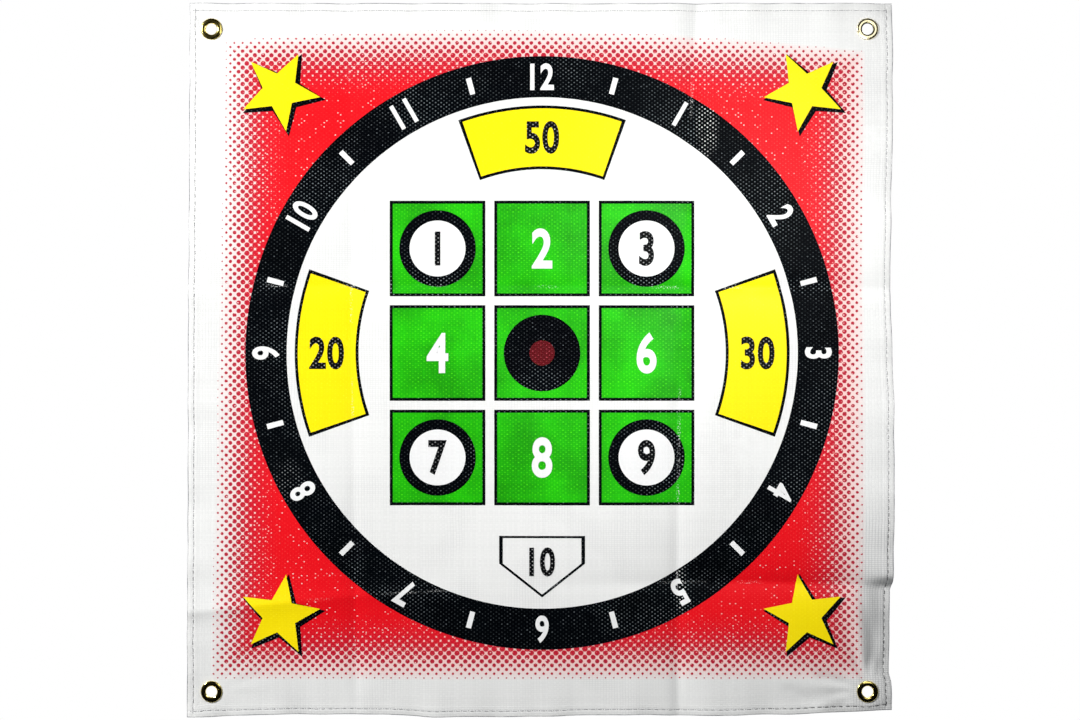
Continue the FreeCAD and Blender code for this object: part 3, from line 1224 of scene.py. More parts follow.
@dataclass(frozen=True)
class Brass:
    """Pressed brass with a dark film in patches, from about -0.3 for bright to 0.5 for dark, and a darker
    ring of film round the bore's rim that is painted shade inside the neck."""

    film: float
    roughness: float
    mouth: float = 0.0
    bright: Colour = (0.86, 0.70, 0.20)
    dull: Colour = (0.055, 0.048, 0.016)
    mouth_radius: float = 7.6 * MM
    mouth_rim: float = 0.6 * MM
    film_roughness: float = 0.10
    scratches: float = 0.7 * MM
    scratch_roughness: float = 0.06
    dents: float = 1.8 * MM
    dent_depth: float = 0.012 * MM

    def material(self, name: str, axis: Place, effects: Effects) -> Material:
        """Builds the brass of one ring.

        Args:
            name: the ring's name.
            axis: X and Z of its axis.
            effects: the shader node groups.

        Returns:
            The material.
        """
        graph = Surface("brass of " + name)
        place = graph.place()
        x, _, z = graph.split(place)
        radius = square_sum(x - axis[0], z - axis[1]).root()
        # Painted shade: the film thickens round the bore's rim, standing for the shade inside the neck.
        mouth = radius.faded(Fade(self.mouth_radius, self.mouth_radius - self.mouth_rim))
        amount = mouth * self.mouth + self.film
        film = graph.effect(effects.tarnish, vector=place, amount=amount)["Mask"]
        scratched = graph.noise(place, self.scratches, 4.0) * self.scratch_roughness
        return graph.complete({
            "Base Color": graph.mix(film, self.bright, self.dull),
            "Metallic": 1.0,
            "Roughness": film * self.film_roughness + self.roughness + scratched,
            "Normal": graph.relief(graph.noise(place, self.dents, 3.0), self.dent_depth),
        })


@dataclass(frozen=True)
class Thread:
    """Twisted sewing thread, whose plies show as slanting bands of painted shade and painted highlight,
    darker at the sheet's lower right as painted shade.
    """

    colour: Colour = (0.45, 0.45, 0.46)
    soiled: Colour = (0.035, 0.035, 0.038)
    ply: float = 0.45 * MM
    twist: float = 1.5
    # Painted shade between the plies and painted highlight on their tops.
    between: Colour = (0.55, 0.55, 0.55)
    crest: Colour = (1.4, 1.4, 1.4)
    ply_depth: float = 0.07 * MM

    def material(self) -> Material:
        """Builds the thread: a wave along the slanting distance darkens between plies as painted shade,
        lightens their tops as painted highlight, and lifts them.
        """
        graph = Surface("sewing thread")
        x, y, z = graph.split(graph.place())
        wave = ((x + z + y * self.twist) * (2 * math.pi / self.ply)).sine()
        tone = wave * 0.3 + 0.5
        # Painted shade: the thread darkens at the sheet's lower right.
        colour = graph.mix(SHADED_SEAM_CORNER.mask(x, z), self.colour, self.soiled)
        return graph.complete({
            "Base Color": graph.mix(1.0, colour, graph.mix(tone, self.between, self.crest), blend="MULTIPLY"),
            "Roughness": 0.6 - wave * 0.05,
            "Sheen Weight": 0.3,
            "Normal": graph.relief(tone, self.ply_depth),
        })


@dataclass(frozen=True)
class NeedleHole:
    """Painted shadow in the hole that the needle left, pale over most of the sheet and dark at its lower
    right as painted shade.
    """

    colour: Colour = (0.40, 0.40, 0.41)
    soiled: Colour = (0.02, 0.02, 0.02)
    patches: Patches = Patches(1.1 * MM, Fade(0.3, 0.7))
    dark_shade: Colour = (0.5, 0.5, 0.5)
    light_shade: Colour = (1.0, 1.0, 1.0)

    def material(self) -> Material:
        """Builds the hole's material."""
        graph = Surface("needle hole")
        place = graph.place()
        x, _, z = graph.split(place)
        # Painted shade: darker at the sheet's lower right, and varied in patches.
        colour = graph.mix(SHADED_SEAM_CORNER.mask(x, z), self.colour, self.soiled)
        shade = graph.mix(graph.patches(place, self.patches), self.dark_shade, self.light_shade)
        return graph.complete({
            "Base Color": graph.mix(1.0, colour, shade, blend="MULTIPLY"),
            "Roughness": 0.9,
            "Specular IOR Level": 0.1,
        })


# The sheet


@dataclass(frozen=True)
class Sheet:
    """The cloth itself: one piece, with its four edges turned to the back. Its grid is fine round folds
    and eyelets and coarse elsewhere, and its raw edges stray by the fray."""

    cloth: Cloth
    hem_gap: float = 0.1 * MM
    mitre_gap: float = 0.15 * MM
    hole_radius: float = 7.0 * MM
    coarse: float = 5.2 * MM
    fine: float = 2.1 * MM
    fine_reach: float = 9 * MM
    turn_steps: int = 9
    hem_steps: int = 7
    fray: float = 0.35 * MM
    fray_lengths: tuple[float, float] = (2.9 * MM, 7.7 * MM)

    @property
    def front(self) -> float:
        """How far the front face lies behind the middle of the cloth."""
        return -CLOTH_THICKNESS / 2

    @property
    def hem_back(self) -> float:
        """How far the back of the turned layer lies behind the middle of the cloth."""
        return CLOTH_THICKNESS * 1.5 + self.hem_gap

    def lines(self, start: float, end: float, zones: Sequence[Place]) -> Array:
        """Grid lines that lie close together in some zones: the running total of 1 over the local spacing
        is cut into equal steps.

        Args:
            start: the first line.
            end: the last line.
            zones: where each zone starts and ends.

        Returns:
            Where each line is.
        """
        run = np.linspace(start, end, 6001)
        nearest = np.min([np.abs(run - np.clip(run, low, high)) for low, high in zones], axis=0)
        spacing = self.fine + (self.coarse - self.fine) * eased((nearest - self.fine_reach) / self.fine_reach)
        total = np.concatenate([[0], np.cumsum(np.diff(run) / spacing[1:])])
        steps = math.ceil(total[-1])
        return np.interp(np.linspace(0, total[-1], steps + 1), total, run)

    def profile(self) -> tuple[Array, Array]:
        """Section of a hem: half circle round the folded edge, then the turned layer to its raw edge.

        Returns:
            Distance in from the edge and distance behind the front layer, of each point.
        """
        middle = CLOTH_THICKNESS + self.hem_gap
        radius = middle / 2
        angle = np.linspace(-math.pi / 2, math.pi / 2, self.turn_steps)
        turn_in = radius + CLOTH_THICKNESS / 2 - radius * np.cos(angle)
        run_in = np.linspace(turn_in[-1], HEM_DEPTH, self.hem_steps)[1:]
        behind = np.concatenate([radius + radius * np.sin(angle), np.full_like(run_in, middle)])
        return np.concatenate([turn_in, run_in]), behind

    def grid_lines(self) -> Grid:
        """Grid lines across and up the front layer, close together at folds and eyelets."""
        border = self.profile()[0][0]
        along = np.linspace(-self.cloth.half, self.cloth.half, 50)
        lines = []
        for number, low, high in ((0, Side.LEFT, Side.RIGHT), (1, Side.BOTTOM, Side.TOP)):
            zones = [(place[number] - self.hole_radius, place[number] + self.hole_radius)
                     for place in self.cloth.eyelets.values()]
            courses = [fold.line(along) for fold in FOLDS if fold.level == bool(number)]
            zones += [(course.min(), course.max()) for course in courses]
            lines.append(self.lines(self.cloth.edge[low] + border, self.cloth.edge[high] - border, zones))
        return lines[0], lines[1]

    def panel(self, across: Array, up: Array) -> tuple[Array, Array, Array]:
        """Front layer with a round hole at each eyelet: the quads near its axis are left out, and the
        points round them drawn on to its circle.

        Args:
            across: grid lines across the sheet.
            up: grid lines up the sheet.

        Returns:
            Places in space, quads, and places on the flat cloth.
        """
        x, z = (values.ravel() for values in np.meshgrid(across, up, indexing="ij"))
        quads = grid_faces(len(across), len(up))
        kept = np.ones(len(quads), dtype=bool)
        for centre_x, centre_z in self.cloth.eyelets.values():
            middle = np.hypot(x[quads].mean(axis=1) - centre_x, z[quads].mean(axis=1) - centre_z)
            kept &= middle > self.hole_radius + 0.7 * self.fine
        rim = np.intersect1d(quads[kept].ravel(), quads[~kept].ravel())
        for centre_x, centre_z in self.cloth.eyelets.values():
            off_x, off_z = x[rim] - centre_x, z[rim] - centre_z
            radius = np.hypot(off_x, off_z)
            pull = np.where(radius < 2 * self.hole_radius, self.hole_radius / radius, 1.0)
            x[rim], z[rim] = centre_x + off_x * pull, centre_z + off_z * pull
        return self.cloth.place(x, z), quads[kept], np.stack([x, z], axis=-1)

    def hem(self, side: Side, run: Array) -> tuple[Array, Array, Array]:
        """Round edge and turned layer of one side, mitred at both ends. Its raw edge strays by two sines.

        Args:
            side: which side.
            run: grid lines along the side, shared with the front layer.

        Returns:
            Places in space, quads, and places on the flat cloth.
        """
        inset, behind = self.profile()
        number = np.arange(len(inset))
        gap = np.where(number >= self.turn_steps, self.mitre_gap, 0.0)
        low, high = (Side.BOTTOM, Side.TOP) if side.upright else (Side.LEFT, Side.RIGHT)
        starts = self.cloth.edge[low] + inset + gap
        ends = self.cloth.edge[high] - inset - gap
        share = (run - run[0]) / (run[-1] - run[0])
        along = starts[None, :] + (ends - starts)[None, :] * share[:, None]
        frayed = np.where(number == number[-1], self.fray, 0.0)
        sines = np.sin(run / self.fray_lengths[0]) + np.sin(run / self.fray_lengths[1])
        inward = 1 if side in (Side.LEFT, Side.BOTTOM) else -1
        across = self.cloth.edge[side] + inward * (inset[None, :] + frayed[None, :] * sines[:, None])
        x, z = side.swapped(along, across)
        points = self.cloth.place(x, z, np.broadcast_to(behind, x.shape)).reshape(-1, 3)
        quads = grid_faces(*x.shape)
        if side in (Side.RIGHT, Side.BOTTOM):
            quads = quads[:, ::-1]
        turned = np.stack(side.swapped(along, 2 * self.cloth.edge[side] - across), axis=-1)
        return points, quads, turned.reshape(-1, 2)

    def make(self, effects: Effects) -> Piece:
        """Builds the sheet: front layer and hems as one surface, thickened by Solidify."""
        across, up = self.grid_lines()
        parts = [self.panel(across, up)]
        parts += [self.hem(side, up if side.upright else across) for side in Side]
        points, quads = joined([(places, faces) for places, faces, _ in parts])
        sheet = build("cloth_sheet", points, quads, np.vstack([chart for _, _, chart in parts]))
        finishes = [finish.material(effects) for finish in (PrintedCloth(), BareCloth(), BareCloth())]
        give_finishes(sheet, finishes, len(parts[0][1]))
        wall = sheet.modifiers.new("thickness", "SOLIDIFY")
        wall.thickness = CLOTH_THICKNESS
        wall.offset = 0.0
        wall.material_offset = 1
        wall.material_offset_rim = 1
        return sheet


# Printed figures


@dataclass(frozen=True)
class Press:
    """Lays flat figures on the cloth's front as thin sheets of ink, whose points are a step apart."""

    cloth: Cloth
    effects: Effects
    step: float = 2.4 * MM

    def laid(self, x: Array, z: Array, layer: Layer) -> Array:
        """Places on the cloth's front face, lifted by a layer's height."""
        return self.cloth.place(x, z, -CLOTH_THICKNESS / 2 - layer.value)

    def steps(self, length: float) -> int:
        """Number of steps in a length, rounded up."""
        return math.ceil(length / self.step)

    def figure(self, name: str, grids: Sequence[Grid], layer: Layer, ink: Ink, wrap: bool = False) -> Piece:
        """One piece from several grids of flat places.

        Args:
            name: name of the piece.
            grids: pairs of X and Z arrays of the same two-dimensional shape.
            layer: height above the cloth.
            ink: finish of the piece.
            wrap: True where each grid closes on itself along its first axis.

        Returns:
            The finished piece.
        """
        parts = []
        for x, z in grids:
            parts.append((np.stack([x, z], axis=-1).reshape(-1, 2), grid_faces(*x.shape, wrap=wrap)))
        flat, quads = joined(parts)
        piece = build(name, self.laid(flat[:, 0], flat[:, 1], layer), quads, flat)
        piece.data.materials.append(ink.material(self.effects))
        return piece

    def fan(self, outline: Array, centre: Place, inner: float = 0.0) -> Grid:
        """Figure whose points run from a closed outline in to its centre, or to a smaller copy of itself.

        Args:
            outline: N x 2 places, clockwise as the pitcher sees them.
            centre: where the outline shrinks to.
            inner: size of the smaller copy, as a share.

        Returns:
            X and Z arrays: centre plus share times the outline's offset from it.
        """
        reach = np.hypot(*(outline - centre).T).max() * (1 - inner)
        share = np.linspace(1, inner, max(2, self.steps(reach)))
        places = np.array(centre) + share[None, :, None] * (outline - centre)[:, None, :]
        return places[..., 0], places[..., 1]

    def disc(self, centre: Place, radius: float, inner: float = 0.0) -> Grid:
        """Round figure, or a ring where inner is not 0."""
        angle = -around(max(24, self.steps(2 * math.pi * radius)))
        outline = np.array(centre) + radius * np.stack([np.cos(angle), np.sin(angle)], axis=-1)
        return self.fan(outline, centre, inner / radius)

    def polygon(self, corners: Sequence[Place], centre: Place, inner: float = 0.0) -> Grid:
        """Straight-sided figure, or a frame: each side is divided evenly.

        Args:
            corners: its corners, clockwise.
            centre: where it shrinks to.
            inner: size of its hole, as a share.

        Returns:
            X and Z arrays.
        """
        points = np.array(corners)
        sides = []
        for start, end in zip(points, np.roll(points, -1, axis=0)):
            share = np.linspace(0, 1, self.steps(np.hypot(*(end - start))), endpoint=False)
            sides.append(start + share[:, None] * (end - start))
        return self.fan(np.vstack(sides), centre, inner)

    def sector(self, centre: Place, inner: float, outer: float, middle: float, half_angle: float) -> Grid:
        """Piece of a ring between two radii.

        Args:
            centre: the ring's middle.
            inner: the smaller radius.
            outer: the larger radius.
            middle: angle of the piece's middle.
            half_angle: how far it goes to each side of that.

        Returns:
            X and Z arrays.
        """
        rings = np.linspace(inner, outer, self.steps(outer - inner))
        angles = middle + np.linspace(-half_angle, half_angle, self.steps(2 * half_angle * outer))
        radius, angle = np.meshgrid(rings, angles, indexing="ij")
        return centre[0] + radius * np.cos(angle), centre[1] + radius * np.sin(angle)


@dataclass(frozen=True)
class Numeral:
    """One printed number: its digits, where its middle is, its height, and how far it turns to the left."""

    text: str
    place: Place
    height: float
    turn: float = 0.0


@dataclass(frozen=True)
class Figures:
    """Sets numbers in a heavy, narrow face."""

    press: Press
    width: float = 0.78
    boldness: float = 0.028
    spacing: float = 1.06
    smoothness: int = 6
    cap_height: float = 0.729

    def outline(self, text: str) -> bpy.types.Mesh:
        """Flat mesh of a number, as Blender sets it."""
        curve = bpy.data.curves.new("digits", "FONT")
        curve.body = text
        curve.offset = self.boldness
        curve.space_character = self.spacing
        curve.resolution_u = self.smoothness
        holder = bpy.data.objects.new("digits", curve)
        mesh = bpy.data.meshes.new_from_object(holder)
        bpy.data.objects.remove(holder)
        bpy.data.curves.remove(curve)
        return mesh

    def points_of(self, mesh: bpy.types.Mesh) -> Array:
        """N x 3 places of a mesh's points."""
        points = np.empty(len(mesh.vertices) * 3)
        mesh.vertices.foreach_get("co", points)
        return points.reshape(-1, 3)

    def slice(self, mesh: bpy.types.Mesh, low: Array, high: Array) -> None:
        """Cuts a flat mesh along a close square grid and divides it into triangles."""
        work = bmesh.new()
        work.from_mesh(mesh)
        for start, end, normal in zip(low, high, np.array([(1, 0, 0), (0, 0, 1)])):
            for place in np.arange(start + self.press.step, end, self.press.step):
                geometry = [*work.verts, *work.edges, *work.faces]
                bmesh.ops.bisect_plane(work, geom=geometry, plane_co=normal * place, plane_no=normal)
        bmesh.ops.triangulate(work, faces=work.faces)
        work.to_mesh(mesh)
        work.free()

    def cut(self, numeral: Numeral) -> Mesh:
        """One number laid flat in its place, cut along a close square grid so that it can follow the cloth.

        Returns:
            Places on the flat cloth, and three point numbers for each triangle, all turned the same way.
        """
        mesh = self.outline(numeral.text)
        flat = self.points_of(mesh)[:, :2] / self.cap_height
        middle = (flat.min(axis=0) + flat.max(axis=0)) / 2
        flat = (flat - middle) * (self.width * numeral.height, numeral.height)
        cosine, sine = math.cos(numeral.turn), math.sin(numeral.turn)
        flat = flat @ np.array([[cosine, sine], [-sine, cosine]]) + numeral.place
        mesh.vertices.foreach_set("co", np.insert(flat, 1, 0.0, axis=1).ravel())
        self.slice(mesh, flat.min(axis=0), flat.max(axis=0))

        flat = self.points_of(mesh)[:, ::2]
        triangles = np.empty(len(mesh.loops), dtype=np.int32)
        mesh.loops.foreach_get("vertex_index", triangles)
        bpy.data.meshes.remove(mesh)
        triangles = triangles.reshape(-1, 3)
        origin = flat[triangles[:, 0]]
        first, second = flat[triangles[:, 1]] - origin, flat[triangles[:, 2]] - origin
        backward = first[:, 0] * second[:, 1] < first[:, 1] * second[:, 0]
        triangles[backward] = triangles[backward, ::-1]
        return flat, triangles

    def make(self, name: str, numerals: Sequence[Numeral], ink: Ink) -> Piece:
        """Lays numbers on the cloth.

        Args:
            name: name of the piece.
            numerals: the numbers.
            ink: their finish.

        Returns:
            One piece with all the numbers.
        """
        flat, triangles = joined([self.cut(numeral) for numeral in numerals])
        piece = build(name, self.press.laid(flat[:, 0], flat[:, 1], Layer.NUMERAL), triangles, flat)
        piece.data.materials.append(ink.material(self.press.effects))
        return piece


@dataclass(frozen=True)
class TargetPrint:
    """The printed game: a black ring of numbers round a strike zone of nine squares."""

    press: Press
    figures: Figures
    centre: Place = (2.7 * MM, 7.9 * MM)
    line: float = 3.2 * MM
    ring_outer: float = 318 * MM
    ring_inner: float = 274 * MM
    tick_inset: float = 13 * MM
    tick_half_angle: float = math.radians(0.55)
    cell: float = 96 * MM
    cell_pitch: float = 112 * MM
    spot_outer: float = 41 * MM
    spot_inner: float = 30 * MM
    bull_share: float = 0.33
    sector_inner: float = 200 * MM
    sector_outer: float = 262 * MM
    sector_half_angle: float = math.radians(19)
    star_place: float = 281 * MM
    star_outer: float = 44 * MM
    star_inner: float = 18.5 * MM
    star_drop: float = 2.5 * MM
    plate_width: float = 92 * MM
    plate_height: float = 66 * MM
    plate_drop: float = 196 * MM
    plate_shoulder: float = 0.45
    plate_middle: float = 0.42
    plate_line: float = 1.2
    hour_height: float = 28 * MM
    spot_height: float = 36 * MM
    cell_height: float = 42 * MM
    sector_height: float = 34 * MM
    plate_digits: float = 30 * MM

    def polar(self, centre: Place, radius: float, angle: float) -> Place:
        """Place at a distance and an angle from a centre."""
        return centre[0] + radius * math.cos(angle), centre[1] + radius * math.sin(angle)

    def cells(self) -> list[Place]:
        """Centres of the nine squares, row by row from the top left."""
        steps = (-self.cell_pitch, 0.0, self.cell_pitch)
        return [(self.centre[0] + x, self.centre[1] - z) for z in steps for x in steps]

    def square(self, centre: Place, half: float) -> list[Place]:
        """Corners of a square, clockwise."""
        signs = ((-1, -1), (-1, 1), (1, 1), (1, -1))
        return [(centre[0] + half * x, centre[1] + half * z) for x, z in signs]

    def ring(self) -> list[Piece]:
        """The black ring, with twelve numbers like a dial's and a tick between each two."""
        grid = self.press.disc(self.centre, self.ring_outer, self.ring_inner)
        middle = (self.ring_outer + self.ring_inner) / 2
        tick = (self.ring_inner + self.tick_inset, self.ring_outer - self.tick_inset)
        numbers, ticks = [], []
        for hour in range(1, 13):
            angle = math.pi / 2 - hour * math.pi / 6
            place = self.polar(self.centre, middle, angle)
            numbers.append(Numeral(str(hour), place, self.hour_height, angle - math.pi / 2))
            ticks.append(self.press.sector(self.centre, *tick, angle + math.pi / 12, self.tick_half_angle))
        return [
            self.press.figure("printed_ring", [grid], Layer.GROUND, BLACK, wrap=True),
            self.press.figure("printed_ring_ticks", ticks, Layer.FIGURE, WHITE),
            self.figures.make("printed_ring_numbers", numbers, WHITE),
        ]

    def zone(self) -> list[Piece]:
        """Nine green squares in black outlines, with round spots on the corners and in the middle."""
        press, cells = self.press, self.cells()
        half, outer = self.cell / 2, self.cell / 2 + self.line
        outlines = [press.polygon(self.square(cell, outer), cell, half / outer) for cell in cells]
        greens = [press.polygon(self.square(cell, half), cell) for cell in cells]
        spots, middle = [cells[number] for number in (0, 2, 6, 8)], cells[4]
        bull = self.bull_share * self.spot_outer
        blacks = [press.disc(spot, self.spot_outer, self.spot_inner) for spot in spots]
        blacks.append(press.disc(middle, self.spot_outer, bull))
        whites = [press.disc(spot, self.spot_inner) for spot in spots]
        dark = [Numeral(str(number + 1), cells[number], self.spot_height) for number in (0, 2, 6, 8)]
        light = [Numeral(str(number + 1), cells[number], self.cell_height) for number in (1, 3, 5, 7)]
        return [
            press.figure("printed_cell_outlines", outlines, Layer.GROUND, BLACK, wrap=True),
            press.figure("printed_cells", greens, Layer.GROUND, GREEN, wrap=True),
            press.figure("printed_spot_rings", blacks, Layer.FIGURE, BLACK, wrap=True),
            press.figure("printed_spots", whites, Layer.FIGURE, WHITE, wrap=True),
            press.figure("printed_bull", [press.disc(middle, bull)], Layer.FIGURE, RED, wrap=True),
            self.figures.make("printed_spot_numbers", dark, DIGIT_BLACK),
            self.figures.make("printed_cell_numbers", light, WHITE),
        ]

    def sectors(self) -> list[Piece]:
        """Three yellow pieces of a ring, above and beside the zone, each with a number."""
        press, inner, outer = self.press, self.sector_inner, self.sector_outer
        radius = (inner + outer) / 2
        outline_angle = self.sector_half_angle + self.line / radius
        outlines, yellows, numbers = [], [], []
        for text, angle in (("20", math.pi), ("50", math.pi / 2), ("30", 0.0)):
            line = (inner - self.line, outer + self.line)
            outlines.append(press.sector(self.centre, *line, angle, outline_angle))
            yellows.append(press.sector(self.centre, inner, outer, angle, self.sector_half_angle))
            numbers.append(Numeral(text, self.polar(self.centre, radius, angle), self.sector_height))
        return [
            press.figure("printed_sector_outlines", outlines, Layer.GROUND, BLACK),
            press.figure("printed_sectors", yellows, Layer.FIGURE, YELLOW),
            self.figures.make("printed_sector_numbers", numbers, DIGIT_BLACK),
        ]

    def plate(self) -> list[Piece]:
        """Five-sided plate below the zone, white in a black outline."""
        x, z = self.centre[0], self.centre[1] - self.plate_drop
        half = self.plate_width / 2
        shoulder, tip = z - self.plate_height * self.plate_shoulder, z - self.plate_height
        corners = [(x - half, z), (x + half, z), (x + half, shoulder), (x, tip), (x - half, shoulder)]
        middle = (x, z - self.plate_height * self.plate_middle)
        inner = 1 - 2 * self.plate_line * self.line / self.plate_width
        outline = self.press.polygon(corners, middle, inner)
        number = Numeral("10", middle, self.plate_digits)
        return [
            self.press.figure("printed_plate_outline", [outline], Layer.GROUND, BLACK, wrap=True),
            self.figures.make("printed_plate_number", [number], DIGIT_BLACK),
        ]

    def star(self, centre: Place, turn: float, grow: float) -> list[Place]:
        """Corners of a five-pointed star, clockwise: outer and inner radius in turn, grown by a width."""
        radii = [radius + grow for radius in (self.star_outer, self.star_inner)] * 5
        return [self.polar(centre, radius, turn - step * math.pi / 5) for step, radius in enumerate(radii)]

    def stars(self) -> list[Piece]:
        """A yellow star over a black one in each corner, pointing outwards."""
        shadows, stars = [], []
        for corner in Corner:
            place = (self.centre[0] + corner.sign_x * self.star_place,
                     self.centre[1] + corner.sign_z * self.star_place)
            below = (place[0] + self.star_drop, place[1] - self.star_drop)
            turn = math.atan2(corner.sign_z, corner.sign_x)
            shadows.append(self.press.polygon(self.star(below, turn, self.line), below))
            stars.append(self.press.polygon(self.star(place, turn, 0.0), place))
        return [
            self.press.figure("printed_star_shadows", shadows, Layer.GROUND, BLACK, wrap=True),
            self.press.figure("printed_stars", stars, Layer.FIGURE, YELLOW, wrap=True),
        ]

    def make(self) -> list[Piece]:
        """Prints everything."""
        return [*self.ring(), *self.zone(), *self.sectors(), *self.plate(), *self.stars()]


# Seams


@dataclass(frozen=True)
class Seam:
    """One thread of a lockstitched seam, as it shows on one face of the cloth: outward is -1 on the front
    and 1 on the back, and face is how far that face lies behind the middle of the cloth."""

    cloth: Cloth
    node: str
    side: Side
    outward: int
    face: float
    gap: float = 2.0 * MM
    radius: float = 0.36 * MM
    rise: float = 0.24 * MM
    dip: float = 0.22 * MM
    arch: float = 0.6
    blunt: int = 6
    slip: float = 0.10 * MM
    slip_turn: float = 2100
    rings: int = 9
    sides: int = 8
    hole_radius: float = 0.42 * MM
    hole_length: float = 1.4
    hole_lift: float = 0.04 * MM
    hole_sides: int = 10

    def course(self) -> tuple[float, Array]:
        """The seam's place across, and where each stitch starts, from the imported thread's box."""
        across = self.side.swapped(*middle_of(self.node))[1]
        low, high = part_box(self.node)
        axis = 2 if self.side.upright else 0
        length = high[axis] - low[axis]
        count = math.floor(length / STITCH_PITCH)
        return across, low[axis] + (length - count * STITCH_PITCH) / 2 + STITCH_PITCH * np.arange(count)

    def laid(self, across: Array, along: Array, lift: Array) -> Array:
        """Places beside the face that the thread lies on."""
        arrays = np.broadcast_arrays(along, across, lift)
        x, z = self.side.swapped(*arrays[:2])
        return self.cloth.place(x, z, self.face + self.outward * arrays[2]).reshape(-1, 3)

    def faced(self, quads: Array, inside_out: bool) -> Array:
        """Quads with their points in the order that turns them outwards on this side and face."""
        mirrored = self.outward * (1 if self.side.upright else -1) > 0
        return quads[:, ::-1] if mirrored == inside_out else quads

    def stitches(self) -> Mesh:
        """Points and quads of every stitch: a tube whose middle rises as a power of a sine between its ends,
        with rounded ends."""
        across, starts = self.course()
        t = np.linspace(0, 1, self.rings)
        thick = self.radius * np.sqrt(np.clip(1 - (2 * t - 1) ** self.blunt, 0, 1))
        angle = around(self.sides)
        slip = self.slip * np.sin(starts * self.slip_turn)
        along = starts[:, None] + self.gap / 2 + (STITCH_PITCH - self.gap) * t[None, :]
        lift = -self.dip + (self.rise + self.dip) * np.sin(math.pi * t) ** self.arch
        places = self.laid(across + slip[:, None, None] + thick[:, None] * np.cos(angle),
                           along[:, :, None], lift[:, None] + thick[:, None] * np.sin(angle))
        quads = repeated(grid_faces(self.rings, self.sides, tube=True), len(starts))
        return places, self.faced(quads, inside_out=True)

    def holes(self) -> Mesh:
        """Points and quads of a flat dark oval between each two stitches, a painted shadow where the needle
        went through.
        """
        across, starts = self.course()
        angle, share = around(self.hole_sides), np.array([1.0, 0.0])
        reach = self.hole_radius * share
        places = self.laid(across + np.cos(angle)[:, None] * reach,
                           starts[:, None, None] + self.hole_length * np.sin(angle)[:, None] * reach,
                           np.array(self.hole_lift))
        quads = repeated(grid_faces(len(angle), len(share), wrap=True), len(starts))
        return places, self.faced(quads, inside_out=False)

    def make(self) -> Piece:
        """Builds the thread, with the painted shadows where the needle went through."""
        tubes = self.stitches()
        seam = build("stitches_" + self.node, *joined([tubes, self.holes()]))
        give_finishes(seam, [Thread().material(), NeedleHole().material()], len(tubes[1]))
        return seam


# Eyelets


@dataclass(frozen=True)
class Fitting:
    """Turned sheet-metal ring round an axis along Y, from a section of (radius, y) corners and bend radii."""

    thickness: float = 0.45 * MM
    bend_steps: int = 6
    turn_steps: int = 96
    cap_reach: float = 0.175

    def middle_line(self, corners: Sequence[Place], radii: Sequence[float]) -> Array:
        """Corners with an arc in place of each inner one, whose centre is on the bisector and which
        touches both runs.

        Args:
            corners: (radius, y) places.
            radii: radius of the arc at each inner corner.

        Returns:
            (radius, y) points of the line.
        """
        points = np.array(corners)
        line = [points[:1]]
        for before, corner, after, radius in zip(points, points[1:], points[2:], radii):
            come, leave = corner - before, after - corner
            come, leave = come / np.hypot(*come), leave / np.hypot(*leave)
            cross = come[0] * leave[1] - come[1] * leave[0]
            angle = math.acos(np.clip(come @ leave, -1, 1))
            side = np.array([-come[1], come[0]]) * math.copysign(radius, cross)
            centre = corner - come * radius * math.tan(angle / 2) + side
            turn = np.linspace(0, angle, self.bend_steps)[:, None]
            line.append(centre + come * radius * np.sin(turn) - side * np.cos(turn))
        return np.vstack([*line, points[-1:]])

    def section(self, line: Array) -> Array:
        """Closed section: the line moved half the thickness to each side, with rounded ends."""
        ahead = np.gradient(line, axis=0)
        ahead /= np.hypot(*ahead.T)[:, None]
        left = np.stack([-ahead[:, 1], ahead[:, 0]], axis=-1) * self.thickness / 2
        bulge = self.thickness * self.cap_reach * np.array([0.8, 1.0, 0.8])[:, None]
        spread = np.array([0.7, 0.0, -0.7])[:, None]
        end = line[-1] + ahead[-1] * bulge + left[-1] * spread
        start = line[0] - ahead[0] * bulge - left[0] * spread
        return np.vstack([line + left, end, (line - left)[::-1], start])

    def ring(self, name: str, centre: Place, line: Array, dented: Callable[..., Grid]) -> Piece:
        """Turns a section round an eyelet's axis.

        Args:
            name: name of the piece.
            centre: X and Z of the axis.
            line: (radius, y) points of the middle of the metal.
            dented: gives the radius and y of every point from its own and its angle, for small dents.

        Returns:
            The ring, with its faces outwards.
        """
        section = self.section(line)
        angle = around(self.turn_steps)[:, None]
        radius, y = np.broadcast_arrays(*dented(section[None, :, 0], section[None, :, 1], angle))
        points = [centre[0] + radius * np.cos(angle), y, centre[1] + radius * np.sin(angle)]
        quads = grid_faces(len(angle), len(section), wrap=True, tube=True)
        piece = build(name, np.stack(points, axis=-1), quads)
        work = bmesh.new()
        work.from_mesh(piece.data)
        bmesh.ops.recalc_face_normals(work, faces=work.faces)
        work.to_mesh(piece.data)
        work.free()
        return piece


